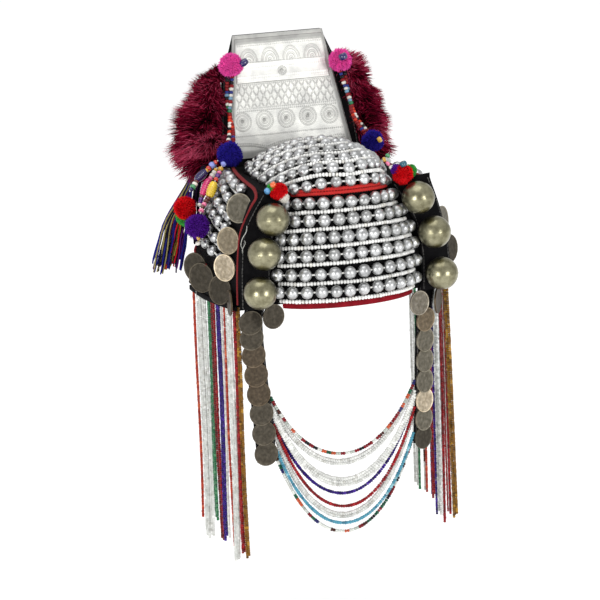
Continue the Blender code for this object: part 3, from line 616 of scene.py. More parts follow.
def dress(piece, slot, *nodes, material=None):
    """Give a piece its finish, fix it to the frame and let it stand for its solids."""
    if material:
        piece.data.materials.clear()
        piece.data.materials.append(material)
    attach(piece, "root")
    if nodes:
        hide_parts(*nodes)
    return piece


def add_band(bm, low, high, closed=True):
    """Faces between two rows of corners."""
    for i in range(len(low) if closed else len(low) - 1):
        j = (i + 1) % len(low)
        bm.faces.new((low[i], low[j], high[j], high[i]))


def add_fan(bm, ring, tip):
    """Faces from a ring of corners to a tip."""
    for low, high in zip(ring, ring[1:] + ring[:1]):
        bm.faces.new((low, high, tip))


def add_quads(bm, rows, closed):
    made = [[bm.verts.new(p) for p in row] for row in rows]
    for low, high in zip(made, made[1:]):
        add_band(bm, low, high, closed)
    return made


def add_loft(bm, loops):
    made = add_quads(bm, loops, closed=True)
    bm.faces.new(made[0])
    bm.faces.new(made[-1])


def lofted(name, loops, smooth=40):
    bm = bmesh.new()
    add_loft(bm, loops)
    return from_bmesh(name, bm, smooth)


def frames(points, hint=Vector((0, 0, 1))):
    """Along, across and deep directions at each point of a line."""
    found = []
    for i in range(len(points)):
        along = (points[min(i + 1, len(points) - 1)] - points[max(i - 1, 0)]).normalized()
        base = hint if abs(along.dot(hint)) < 0.95 else Vector((0, 1, 0))
        across = (base - along * base.dot(along)).normalized()
        found.append((along, across, along.cross(across)))
    return found


def sweep(points, widths, depths, sides, wide):
    """Loops of an oval section along points; wide is the direction that widths are measured in."""
    return [[point + across * width * math.cos(t) + deep * depth * math.sin(t) for t in turns(sides)]
            for point, width, depth, (_, across, deep) in zip(points, widths, depths, frames(points, wide))]


def add_thread(bm, points, radius, sides=5):
    radii = [radius] * len(points)
    add_loft(bm, sweep(points, radii, radii, sides, Vector((0, 0, 1))))


def resampled(points, step):
    """The same line with points every step metres, and how far along each one is."""
    lengths = [0.0]
    for a, b in zip(points, points[1:]):
        lengths.append(lengths[-1] + (b - a).length)
    count = max(2, round(lengths[-1] / step) + 1)
    result, at, k = [], [], 0
    for i in range(count):
        goal = lengths[-1] * i / (count - 1)
        while k < len(points) - 2 and lengths[k + 1] < goal:
            k += 1
        span = lengths[k + 1] - lengths[k] or 1.0
        result.append(points[k].lerp(points[k + 1], (goal - lengths[k]) / span))
        at.append(goal)
    return result, at


def add_cord(bm, points, radius, pitch):
    """A cord of two twisted plies along a line; radius may be a function of the length so far."""
    line, at = resampled(points, pitch / 7)
    loops = []
    for point, far, (_, across, deep) in zip(line, at, frames(line)):
        thick = radius(far) if callable(radius) else radius
        loop = []
        for turn in turns(12):
            lobe = abs(math.cos(turn - 2 * math.pi * far / pitch))
            size = thick * (0.66 + 0.34 * lobe)
            loop.append(point + (across * math.cos(turn) + deep * math.sin(turn)) * size)
        loops.append(loop)
    add_loft(bm, loops)


def tint_corners(piece, values):
    piece.data.color_attributes.new("tint", "FLOAT_COLOR", "POINT").data.foreach_set("color", values)


def store(piece, name, values, kind="FLOAT", key="value"):
    """Give each corner of a piece its own value of an attribute."""
    piece.data.attributes.new(name, kind, "POINT").data.foreach_set(key, values)


class Parts:
    """A mesh that is built part by part, each part in its own colour."""

    def __init__(self):
        self.bm = bmesh.new()
        self.counts, self.colours = [], []

    def add(self, colour, build, *values):
        before = len(self.bm.verts)
        build(self.bm, *values)
        self.counts.append(len(self.bm.verts) - before)
        self.colours.append(colour)
        return self

    def piece(self, name, smooth=40):
        made = from_bmesh(name, self.bm, smooth)
        tint_corners(made, [c for count, colour in zip(self.counts, self.colours)
                            for c in (*colour, 1.0) * count])
        return made


def facing(centre, way):
    """A turn that takes Z to a direction, about a centre."""
    return Matrix.Translation(centre) @ way.to_track_quat("Z", "Y").to_matrix().to_4x4()


def lathe(name, profile, sides):
    """A turned body round Z from (radius, height) pairs; it ends on the axis."""
    bm = bmesh.new()
    made = add_quads(bm, [[round_z(r, t, z) for t in turns(sides)] for r, z in profile[1:-1]],
                     closed=True)
    for ring, (_, z) in ((made[0], profile[0]), (made[-1], profile[-1])):
        add_fan(bm, ring, bm.verts.new((0, 0, z)))
    return from_bmesh(name, bm, 60)


def line_host(name, lines):
    """A mesh of bare lines for a tree to follow."""
    mesh = bpy.data.meshes.new(name)
    places, edges = [], []
    for line in lines:
        start = len(places)
        places += [tuple(p) for p in line]
        edges += [(start + i, start + i + 1) for i in range(len(line) - 1)]
    mesh.from_pydata(places, edges, [])
    return piece_of(name, mesh)


def strung(name, lines, tree, bead, spacing, size, uneven, slack, run=1.0, *, seed, coat=seed_glass,
           slot="mixed_beads", nodes=()):
    """Beads along lines as one piece; run is how many beads in a row share a colour."""
    piece = grown(line_host(name, lines), tree, Bead=bead, Spacing=spacing * MM, Size=size * MM,
                  Unevenness=uneven, Slack=slack * MM, Run=run, Seed=seed, Finish=coat)
    return dress(piece, slot, *nodes)


# Cap, hem, strips, straps and board

FRONT_STEPS, SIDE_STEPS, WALL_STEPS = 18, 14, 14
FACET_STEPS, CORNER_STEPS = (0.25, 0.5, 0.75, 1.0), (0.25, 0.5, 0.75)
FLANK_STEPS = len(FACET_STEPS) + SIDE_STEPS + len(CORNER_STEPS) + 1
WELD = 0.02 * MM
# Cross-sections. Hem: outwards and up, in millimetres. Strip: across and off the facet, in shares.
# Strap: across and outwards, in shares. Tassel band: outwards and up, in millimetres.
HEM_SECTION = ((0.4, 2.6), (1.5, 2.2), (2.0, -0.2), (1.8, -2.6), (0.8, -3.7), (-1.4, -3.9),
               (-2.8, -3.2), (-3.0, -0.4), (0.4, -0.4))
STRIP_SECTION = ((-0.97, 0), (0.97, 0), (1, 0.25), (1, 0.75), (0.96, 1), (-0.96, 1), (-1, 0.75),
                 (-1, 0.25))
STRAP_SECTION = ((-1, 0.6), (-0.93, 1), (0.93, 1), (1, 0.6), (1, -0.6), (0.93, -1), (-0.93, -1),
                 (-1, -0.6))
BAND_SECTION = ((-2, -0.9), (2, -0.9), (2.4, -1.6), (2.4, -5), (1.8, -5.8), (-1.8, -5.8), (-2.4, -5),
                (-2.4, -1.6))
BOARD_BEVEL = 0.8


def half_ring(v, word):
    points = [front_point(i / FRONT_STEPS, v) for i in range(FRONT_STEPS + 1)]
    points += [facet_point(f, v) for f in FACET_STEPS]
    points += [side_point(i / SIDE_STEPS, v, word) for i in range(1, SIDE_STEPS + 1)]
    points += [corner_point(t, v) for t in CORNER_STEPS]
    points += [back_point(1 - i / FRONT_STEPS, v) for i in range(FRONT_STEPS + 1)]
    return points


def build_cap():
    bm = bmesh.new()
    rings = []
    for v in even(0, 1, WALL_STEPS + 1):
        left = flip(half_ring(v, "left"), -1)
        rings.append(half_ring(v, "right") + left[-2:0:-1])
    border = [crown_point(i / FRONT_STEPS, 0) for i in range(FRONT_STEPS + 1)]
    border += [crown_point(1, i / FLANK_STEPS) for i in range(1, FLANK_STEPS + 1)]
    border += [crown_point(1 - i / FRONT_STEPS, 1) for i in range(1, FRONT_STEPS + 1)]
    rings.append(border + flip(border[-2:0:-1], -1))
    add_quads(bm, rings, closed=True)
    add_quads(bm, [[crown_point(i / FRONT_STEPS, j / FLANK_STEPS)
                    for i in range(-FRONT_STEPS, FRONT_STEPS + 1)]
                   for j in range(FLANK_STEPS + 1)], closed=False)
    bmesh.ops.remove_doubles(bm, verts=bm.verts, dist=WELD)
    bmesh.ops.dissolve_degenerate(bm, edges=bm.edges, dist=WELD)
    cap = from_bmesh("cotton_cap", bm, 50)
    wall = cap.modifiers.new("wall", "SOLIDIFY")
    wall.thickness = CAP_WALL
    wall.offset = -1
    dress(cap, "black_cloth", "cap", material=black_cotton)


def build_hem():
    """Rolled red binding under the forehead edge."""
    loops = []
    for a in even(-0.97, 0.97, 41):
        top = front_point(a, 0)
        out = outward(front_point, a, 0)
        out.z = 0
        loops.append([top + out * x * MM + Vector((0, 0, z * MM)) for x, z in HEM_SECTION])
    dress(lofted("forehead_binding", loops, 60), "red_cloth", "front_hem", material=red_binding)


def build_strip(side, word):
    reach = strip_reach(word)
    middle, half = (STRIP_START + reach) / 2, (reach - STRIP_START) / 2
    loops = []
    for v in [-0.02] + even(0, 1, 22) + [1.04]:
        level_v = min(max(v, 0.0), 1.0)
        lift = Vector((0, 0, (v - level_v) * WALL_HEIGHT))
        loops.append(flip([on_facet(middle + f * half, level_v, STRIP_GAP + off * STRIP_THICK) + lift
                           for f, off in STRIP_SECTION], side))
    dress(lofted(f"cloth_strip_{word}", loops), "black_cloth", f"strip_{word}", material=black_cotton)


def build_strap(side, word):
    loops = []
    for z in even(STRAP_TOP, STRAP_FOOT, 44):
        middle, _, across, out = strap_at(z * MM, word)
        flat = Vector((out.x, out.y, 0))
        loops.append(flip([middle + across * STRAP_HALF * i + flat * STRAP_THICK / 2 * j
                           for i, j in STRAP_SECTION], side))
    dress(lofted(f"cloth_strap_{word}", loops), "black_cloth", f"strap_{word}", material=black_cotton)


def build_board():
    loops = []
    for z in even(BOARD_BOTTOM, PLATE_TOP, 40):
        half, front = board_half(z), board_front(z)
        rear, flat = front + BOARD_THICK, half - BOARD_BEVEL
        loops.append([Vector((x, y, z)) * MM for x, y in
                      ((-half, front + BOARD_BEVEL), (-flat, front), (flat, front),
                       (half, front + BOARD_BEVEL), (half, rear - BOARD_BEVEL), (flat, rear),
                       (-flat, rear), (-half, rear - BOARD_BEVEL))])
    dress(lofted("cloth_board", loops, 50), "black_cloth", "plate_board", material=black_cotton)


# Silver beads sewn in rows

# A row runs at one height, or tilts, or bends back towards both ends: height, tilt, bend.
Row = namedtuple("Row", "at tilt bend")
# A field lies on a surface from low to high; its silver beads have a pitch and a size, and its seed
# rows a height over the cloth and a size, in millimetres.
Field = namedtuple("Field", "node surface low high beads seeds pitch size seed_height seed_size")
CROWN_ROWS = [Row(0.07, 0, 0), Row(0.14, 0, 0.17), Row(0.22, 0, 0.3), Row(0.355, 0, 0.37),
              Row(0.5, 0, 0.43), Row(0.655, 0, 0.42), Row(0.81, 0, 0.35)]
SIDE_ROWS = [Row(0.925, 0.0, 0), Row(0.81, 0.12, 0), Row(0.715, 0.1, 0), Row(0.62, 0.1, 0),
             Row(0.49, 0.17, 0), Row(0.39, 0.15, 0)]
FRONT_ROWS = [Row(v, 0, 0) for v in (0.15, 0.289, 0.448, 0.598, 0.741, 0.872)]
FRONT_SEEDS = [Row(v, 0, 0) for v in (0.058, 0.212, 0.37, 0.522, 0.672, 0.806)]


def between(rows):
    """Rows half-way between these ones."""
    return [Row(*(mix(a, b, 0.5) for a, b in zip(low, high))) for low, high in zip(rows, rows[1:])]


SIDE_FIELD = (0.26, 0.97, SIDE_ROWS, between(SIDE_ROWS), 16.5, 5.3, 1.4, 1.1)
FIELDS = {
    "front": Field("front_bead_rows", front_point, -0.99, 0.95, FRONT_ROWS, FRONT_SEEDS,
                   12.6, 5.95, 2.6, 2.0),
    "crown": Field("crown_bead_rows", crown_point, -0.97, 0.97, CROWN_ROWS, between(CROWN_ROWS),
                   13.4, 5.65, 5.8, 2.0),
    "side_left": Field("side_bead_rows_left", left_side, *SIDE_FIELD),
    "side_right": Field("side_bead_rows_right", side_point, *SIDE_FIELD),
}
END_OF_CROWN = 0.955
# The crown's rows after these are of smaller beads, closer together.
CROWN_NEAR_ROWS, REAR_PITCH, REAR_SIZE = 4, 12.6, 5.1


def row_line(field, row, height, ease):
    """A line along one sewn row, this many millimetres off the cloth."""
    points = []
    central = field.surface in (front_point, crown_point)
    for a in even(field.low + ease, field.high - ease, 49):
        if central:
            b = row.at + row.bend * (math.sqrt(a * a + 0.04) - 0.2)
        else:
            b = row.at + row.tilt * (a - 0.45)
        if b > END_OF_CROWN and field.surface is crown_point:
            continue
        b += (0.006 if central else 0.01) * noise.noise(Vector((a * 4, row.at * 31, 0)))
        points.append(off_cloth(field.surface, a, min(max(b, 0.02), 0.99), height * MM))
    return points


def sunk(row):
    """How deep a row's beads sit between the seed rows: the rows at a field's low end stand out."""
    return 0.2 if row.at < 0.3 else 1.2


def build_fields():
    round_bead = lathe("silver bead form", [(0, -0.86), (0.2, -0.97), (0.34, -0.955)]
                       + [(math.cos(t), math.sin(t)) for t in even(-1.16, 1.16, 8)]
                       + [(0.34, 0.955), (0.2, 0.97), (0, 0.86)], 16)
    silver_row = bead_tree("silver bead row", [(0.5, (1.0, 1.0, 1.0)), (0.3, (0.88, 0.88, 0.87)),
                                               (0.2, (1.1, 1.1, 1.1))])
    seed_row = bead_tree("white seed row", [(0.86, dye(238, 238, 235)), (0.1, dye(222, 220, 213)),
                                            (0.04, dye(248, 248, 246))])
    for word, field in FIELDS.items():
        crests = [row_line(field, row, field.size - sunk(row), 0.01) for row in field.beads]
        seeds = [row_line(field, row, field.seed_height, 0.0) for row in field.seeds]
        near = CROWN_NEAR_ROWS if word == "crown" else len(crests)
        strung(f"silver_beads_{word}", crests[:near], silver_row, round_bead, field.pitch, field.size,
               0.05, 0.5, seed=3, coat=bead_silver, slot="silver_beads", nodes=[field.node])
        if crests[near:]:
            strung(f"silver_beads_{word}_rear", crests[near:], silver_row, round_bead, REAR_PITCH,
                   REAR_SIZE, 0.05, 0.5, seed=4, coat=bead_silver, slot="silver_beads")
        strung(f"seed_rows_{word}", seeds, seed_row, SEED, 3.05, field.seed_size, 0.08, 0.12, seed=5,
               slot="white_beads")
        threads = Parts()
        for line in crests:
            threads.add(dye(228, 227, 222), add_thread, line, 0.8 * MM)
        dress(threads.piece(f"row_threads_{word}"), "white_beads", material=thread_cotton)
    bpy.data.objects.remove(round_bead)


# Red cords

# Up the strip the cord lies beside its edge at the left and behind it at the right: how far past the
# facet's edge and off the facet, in millimetres. Above is 1 on the side's top edge, 0 just below.
CORD_OUT = {"left": 4.6, "right": 2.6}
CORD_FORWARD = {"left": 1.5, "right": -0.9}
CORD_ABOVE = {"left": 1.0, "right": 0.0}


def side_cord_line(side, word):
    points = []
    for v in (0.04, 0.25, 0.45, 0.65, 0.85, 0.96):
        points.append(on_facet(1 + CORD_OUT[word] * MM / FACET_WIDTH, v, CORD_FORWARD[word] * MM))
    for u in even(0.1, 0.97, 6):
        v = mix(0.955, 1.0, CORD_ABOVE[word])
        normal = outward(side_point, u, v - 0.03) + Vector((0, 0, CORD_ABOVE[word]))
        points.append(side_point(u, v, word) + normal.normalized() * (CORD_RADIUS + 2 * GAP))
    return flip(smooth_path(points, 60), side)


def side_cord_radius(far):
    """The side cord is thin up the strip, and swells where it turns back along the side."""
    return mix(0.95, 1.7, min(1.0, max(0.0, (far - 0.085) / 0.03))) * MM


def build_cords():
    crown_cords = Parts()
    for shift in (-1.75, 1.75):
        line = []
        for a in even(-0.95, 0.95, 60):
            front, top = outward(front_point, a, 0.99), outward(crown_point, a, 0.02)
            normal = (front + top).normalized()
            across = normal.cross(Vector((1, 0, 0))).normalized()
            line.append(front_point(a, 1.0) + normal * 3.3 * MM - across * shift * MM)
        crown_cords.add(dye(184, 28, 24), add_cord, line, 1.9 * MM, 5.5 * MM)
    dress(crown_cords.piece("crown_twisted_cords", 80), "red_cord", "crown_cord", material=cord_cotton)
    for side, word in SIDES:
        cord = Parts().add(dye(114, 11, 17), add_cord, side_cord_line(side, word), side_cord_radius,
                           4.5 * MM)
        dress(cord.piece(f"side_twisted_cord_{word}", 80), "red_cord", f"side_cord_{word}",
              material=cord_cotton)


# Balls

# Where the balls sit on the strips, top one first: v is the height, f the place across, and off
# how far the ball stands off the strip there.
Mark = namedtuple("Mark", "v f off")
BALLS = {"left": [Mark(0.775, 0.58, 0.75), Mark(0.48, 0.5, -0.3), Mark(0.175, 0.62, 0.1)],
         "right": [Mark(0.84, 0.59, 0.5), Mark(0.51, 0.48, -0.3), Mark(0.17, 0.58, 0.15)]}


def add_ball(bm, centre, out):
    """A ball beaten from two halves, with a soft seam and small dents."""
    rings = add_quads(bm, [[round_z(math.sin(tilt), turn, math.cos(tilt)) for turn in turns(64)]
                           for tilt in even(0, math.pi, 41)[1:-1]], closed=True)
    for ring, pole in ((rings[0], 1), (rings[-1], -1)):
        add_fan(bm, ring, bm.verts.new((0, 0, pole)))
    for vert in bm.verts:
        seam = 0.012 * math.exp(-(vert.co.z / 0.03) ** 2)
        dent = 0.012 * noise.noise(vert.co * 2.2 + centre * 400)
        vert.co *= 0.985 + seam + dent
    turn = out.to_track_quat("X", "Z").to_matrix().to_4x4()
    bm.transform(Matrix.Translation(centre) @ turn @ Matrix.Scale(BALL_RADIUS, 4))


def build_balls():
    for side, word in SIDES:
        for number, mark in enumerate(BALLS[word], 1):
            stand = STRIP_GAP + STRIP_THICK + mark.off * MM + BALL_RADIUS
            centre, out = flip([on_facet(mark.f, mark.v, stand), facet_normal(mark.v)], side)
            ball = Parts().add((1.0, 1.0, 1.0), add_ball, centre, out)
            dress(ball.piece(f"silver_ball_{word}_{number}", 80), "nickel", f"ball_{word}_{number}",
                  material=ball_nickel)


# Embossed plate

# Embossed rosettes: across is in plate half-widths, from -1 to 1.
Rosette = namedtuple("Rosette", "across z radius")
ROSETTES = ([Rosette(-0.66 + 0.44 * k, 207, 7.5) for k in range(4)] + [Rosette(0, 191.6, 4)]
            + [Rosette(-0.79 + 0.38 * k, 146.8, 9) for k in range(5)])
# Heights on the sheet: rows of dots alone, the dotted band and its dots, the lattice, the top ridge.
ROW_LINES = (180.5, 158.5, 156.2, 133.5)
BAND_LOW, BAND_HIGH = 183.0, 200.2
BAND_DOTS = (198.0, 195.4, 188.0, 185.4)
LATTICE_LOW, LATTICE_HIGH = 159.5, 179.5
LATTICE_PITCH, LATTICE_SLOPE = 7.2, 0.62
TOP_RIDGE, TOP_DOTS = 218.6, 216.6
DOT_RADIUS = 0.62
RELIEF_LOW, RELIEF_HIGH = -0.35, 1.0
GRID_ACROSS, GRID_UP = 190, 176


def soft_step(value, edge, width):
    return 1 / (1 + np.exp(-(value - edge) / width * 4))


def ridge(value, centre, half):
    return np.exp(-((value - centre) / half) ** 2)


def dots(across, height, line, pitch=2.2):
    """A row of raised dots along a line at this height."""
    near = (across / pitch - np.round(across / pitch)) * pitch
    return np.exp(-(near ** 2 + (height - line) ** 2) / DOT_RADIUS ** 2)


def rosette_rise(rosette, x, z):
    """Rise of a rosette and how much of each place it covers: arches on top, ringed flowers below."""
    dx, dz = x - rosette.across * plate_half(rosette.z), z - rosette.z
    if rosette.z > BAND_HIGH:
        far = np.hypot(dx, (dz + 5.5) * 0.72)
        rings = 0.32 + 0.42 * np.cos(far * 2 * math.pi / 2.9)
        return rings, soft_step(rosette.radius + 1.2 - far, 0, 0.5) * soft_step(z, BAND_HIGH + 1.2, 0.4)
    far = np.hypot(dx, dz)
    rings = 0.3 + 0.34 * np.cos((far - rosette.radius + 0.8) * 2 * math.pi / 2.6)
    rings = rings * (0.72 + 0.28 * np.cos(np.arctan2(dz, dx) * 26)) - 0.7 * (far < 1.7)
    return rings, soft_step(rosette.radius + 0.4 - far, 0, 0.5)


def plate_relief(x, z):
    """Height of the embossing in millimetres over the sheet, for arrays of places."""
    c = x / plate_half(z)
    inside = (soft_step(0.9 - np.abs(c), 0, 0.012) * soft_step(220.5 - z, 0, 0.8)
              * soft_step(z, 120 + 4 * np.cos(c * 7.8), 0.8))
    rise = 0.75 * (1 - soft_step(0.955 - np.abs(c), 0, 0.01) * soft_step(223.5 - z, 0, 0.6)) * (z > 119)
    pattern = 0.16 * np.sin(x * 3.1 + 1.4 * np.sin(z * 1.3)) * np.sin(z * 3.3 + np.sin(x * 0.9))
    band = soft_step(z, BAND_LOW - 0.2, 0.5) * soft_step(BAND_HIGH - z, 0, 0.5)
    pattern = pattern * (1 - band) + 0.56 * band
    pattern += 0.6 * ridge(z, BAND_HIGH, 0.8) + 0.75 * ridge(z, BAND_LOW, 0.9)
    for line in BAND_DOTS:
        pattern += 0.45 * dots(x, z, line)
    pattern += 0.5 * ridge(z, TOP_RIDGE, 0.45) + 0.3 * dots(x, z, TOP_DOTS)
    lattice = soft_step(z, LATTICE_LOW, 0.4) * soft_step(LATTICE_HIGH - z, 0, 0.4)
    for way in (1, -1):
        line = (x + way * (z - (LATTICE_LOW + LATTICE_HIGH) / 2) * LATTICE_SLOPE) / LATTICE_PITCH
        pattern += lattice * 0.34 * ridge(line - np.round(line), 0, 0.11)
    for line in ROW_LINES:
        pattern += 0.42 * dots(x, z, line, 2.0)
    border = 122.6 + 4.2 * np.abs(np.cos(c * 4.0))
    pattern += 0.45 * dots(x, z, border, 2.1) + 0.4 * ridge(z, border - 1.9, 0.5)
    for rosette in ROSETTES:
        rings, cover = rosette_rise(rosette, x, z)
        pattern = pattern * (1 - cover) + rings * cover
    return rise + pattern * inside


def build_plate():
    """The sheet as a fine grid that carries its hammered pattern, with a plain back."""
    across, up = GRID_ACROSS, GRID_UP
    cs, zs = np.linspace(-1, 1, across), np.linspace(PLATE_BOTTOM, PLATE_TOP, up)
    grid_z, grid_c = np.meshgrid(zs, cs, indexing="ij")
    x = grid_c * plate_half(grid_z)
    relief = plate_relief(x, grid_z)
    bow = 0.35 * np.sin(x * 0.09 + 0.6) * np.cos(grid_z * 0.07)
    edge = np.clip((1 - np.abs(grid_c)) * 30, 0, 1)
    rear = BOARD_Y + np.maximum(0, grid_z - BEND_Z) * LEAN - 0.4
    face = np.stack([x, rear - PLATE_THICK * (0.35 + 0.65 * edge) - (relief + bow) * edge, grid_z], -1) * MM
    ends = np.stack([x, rear, grid_z], -1)[:, [0, -1]] * MM
    count, last = across * up, across * up + 2 * (up - 1)
    places = np.concatenate([face.reshape(-1, 3), ends.reshape(-1, 3)])
    faces = [(*range(across - 1, -1, -1), count, count + 1),
             (*range((up - 1) * across, up * across), last + 1, last)]
    for r in range(up - 1):
        low, back = r * across, count + 2 * r
        faces += [(i, i + 1, i + across + 1, i + across) for i in range(low, low + across - 1)]
        faces += [(back, back + 2, back + 3, back + 1), (low, low + across, back + 2, back),
                  (low + across - 1, back + 1, back + 3, low + 2 * across - 1)]
    mesh = bpy.data.meshes.new("embossed_plate")
    mesh.from_pydata(places.tolist(), [], faces)
    mesh_ready(mesh, 60)
    plate = piece_of("embossed_plate", mesh)
    # Painted shade in the tint: the plain margins at the sides, top and bottom are darkened where they turn
    # away, and the edge corners take half.
    painted_shade_margin = (soft_step(np.abs(grid_c), 0.915, 0.03) + soft_step(grid_z, 219.5, 1.5)
              + soft_step(119.5 - grid_z, 0, 2.0))
    shade = (1 - 0.55 * np.clip(painted_shade_margin, 0, 1)).reshape(-1)
    shade = np.concatenate([shade, np.full(2 * up, 0.5)])
    tints = np.stack([shade, shade, shade, np.ones_like(shade)], -1).reshape(-1)
    tint_corners(plate, tints.astype(np.float32))
    values = np.clip((relief - RELIEF_LOW) / (RELIEF_HIGH - RELIEF_LOW), 0, 1).reshape(-1)
    values = np.concatenate([values, np.full(2 * up, 0.6)])
    store(plate, "relief", values.astype(np.float32))
    dress(plate, "silver_sheet", "back_plate", material=plate_silver)


# Coins

# Loose coins by piece: azimuth turns the face from the front towards +X, tilt raises it.
Coin = namedtuple("Coin", "x y z azimuth tilt radius")
COINS = {
    "side_coin_left_top": [Coin(-93.4, -29.6, 88.6, -62, 14, 14)],
    "side_coin_left_middle": [Coin(-105, -28, 59, -68, 8, 12.8)],
    "side_coins_left_front": [Coin(-109.5, -28, 34, -68, 3, 12.8), Coin(-112.5, -21, 12, -70, 9, 14),
                              Coin(-109.5, -38, 3, -108, 0, 12)],
    "side_coins_left_rear": [Coin(-120.5, 24.7, 25.3, -66, 2, 14.3), Coin(-118, 15.6, 17, -61, 2, 14.3)],
    "corner_coin_left": [Coin(-74.6, -59.5, -9.6, 14, 2, 11.7)],
    "side_coin_right_top": [Coin(107.4, -31.5, 56.5, 46, 4, 14.3)],
    "side_coin_right_low": [Coin(112.6, -32, 29, 31, 3, 14.3)],
    "edge_coin_right": [Coin(93, -50.5, -14.9, 40, 0, 12.5)],
    "corner_coin_right": [Coin(69.8, -60.9, -12.7, 20, 2, 11.7)],
}
GREY, TAN, CREAM = (0.48, 0.47, 0.42), (0.52, 0.43, 0.32), (1.55, 1.42, 1.22)
DARK, BROWN, PALE = (0.18, 0.165, 0.14), (0.2, 0.16, 0.12), (0.66, 0.64, 0.6)
COIN_TINTS = {
    "side_coin_left_top": [GREY], "side_coin_left_middle": [(0.84, 0.76, 0.62)],
    "side_coins_left_front": [CREAM, DARK, BROWN], "side_coins_left_rear": [DARK, DARK],
    "corner_coin_left": [DARK], "side_coin_right_top": [GREY], "side_coin_right_low": [DARK],
    "edge_coin_right": [BROWN], "corner_coin_right": [PALE],
}
# Some coins have slipped round a little on their threads, in degrees.
COIN_TURN = {"side_coin_left_top": 10, "side_coin_left_middle": 10, "side_coins_left_front": 8,
             "side_coins_left_rear": 6, "edge_coin_right": 14}
# Strap coins lean on each other by this angle; drops are their heights below the forehead edge.
SHINGLE = math.radians(3.6)
STRAP_DROPS = {"left": (16, 31, 48, 67, 85.5, 104.5, 124, 144), "right": (33, 53, 73, 93, 112, 130, 148)}
STRAP_TINTS = {"left": [DARK, DARK, BROWN, BROWN, BROWN, DARK, DARK, DARK],
               "right": [TAN, GREY, GREY, GREY, CREAM, GREY, DARK]}
COIN_RINGS = (0.14, 0.3, 0.44, 0.58, 0.7, 0.79, 0.83, 0.87, 0.91, 0.95, 0.985)
COIN_SIDES = 44


def coin_relief(far, turn, kind):
    """Worn, letterless relief at a share of the radius: rim, ring of dots and a plain flower."""
    rise = 0.42 * (1 / (1 + math.exp(-(far - 0.925) * 90)))
    rise += 0.2 * math.exp(-((far - 0.82) / 0.035) ** 2) * (0.5 + 0.5 * math.cos(turn * 36))
    petals = 5 + kind % 4
    flower = 0.5 + 0.5 * math.cos(turn * petals + kind)
    rise += 0.08 * math.exp(-((far - 0.42) / 0.17) ** 2) * flower
    return rise + 0.1 * noise.noise(round_z(far * 5, turn, kind * 3.7))


def add_coin(bm, reliefs, centre, normal, radius, kind):
    """One struck disc with a bevelled edge; reliefs takes the height of each of its corners."""
    turn, half = facing(centre, normal), COIN_THICK / 2

    def corner(far, angle, height, rise):
        reliefs.append(rise)
        return bm.verts.new(turn @ round_z(far * radius, angle, height))

    sheets = []
    for way in (1, -1):
        rings = []
        for far in COIN_RINGS:
            rises = [(t, coin_relief(far, t, kind + (way < 0))) for t in turns(COIN_SIDES)]
            rings.append([corner(far, t, way * (half - 0.45 * MM + rise * MM), rise)
                          for t, rise in rises])
        sheets.append(rings)
    # The edge's relief of 0 takes the coin finish's darkest grey: painted contact shadow where coins overlap.
    edge = [corner(1, t, 0, 0.0) for t in turns(COIN_SIDES)]
    middles = [corner(0, 0, way * (half - 0.4 * MM), 0.1) for way in (1, -1)]
    for rings, middle in zip(sheets, middles):
        for low, high in zip(rings, rings[1:] + [edge]):
            add_band(bm, low, high)
        add_fan(bm, rings[0], middle)


def coin_piece(name, rows, tints, slot, node):
    """Coins as one piece; rows are (centre, normal, radius)."""
    coins, reliefs = Parts(), []
    for number, (row, tint) in enumerate(zip(rows, tints)):
        coins.add(tint, add_coin, reliefs, *row, number * 3 + len(name))
    piece = coins.piece(name, 50)
    store(piece, "relief", [min(1.0, max(0.0, h * 2.2)) for h in reliefs])
    dress(piece, slot, node, material=coin_metal)


def build_coins():
    for name, rows in COINS.items():
        placed = []
        for row in rows:
            turn, rise = math.radians(row.azimuth + COIN_TURN.get(name, 0)), math.radians(row.tilt)
            normal = Vector((math.sin(turn) * math.cos(rise), -math.cos(turn) * math.cos(rise),
                             math.sin(rise)))
            placed.append((place_of(row), normal, row.radius * MM))
        coin_piece(f"worn_{name}", placed, COIN_TINTS[name], "grey_coin", name)
    for side, word in SIDES:
        placed = []
        for drop in STRAP_DROPS[word]:
            middle, _, across, out = strap_at(-drop * MM, word)
            normal = Matrix.Rotation(-SHINGLE, 3, across) @ out
            stand = (STRAP_THICK + COIN_THICK) / 2 + 0.9 * MM + STRAP_COIN_RADIUS * math.sin(SHINGLE)
            aside = max(0.0, 3.2 - drop * 0.014) * MM if word == "left" else 0.0
            lean = across * (-aside if across.y > 0 else aside)
            centre, normal = flip([middle + out * stand + lean, normal], side)
            placed.append((centre, normal, STRAP_COIN_RADIUS))
        coin_piece(f"worn_strap_coins_{word}", placed, STRAP_TINTS[word], "dark_coin",
                   f"strap_coins_{word}")


# Seed-bead strands

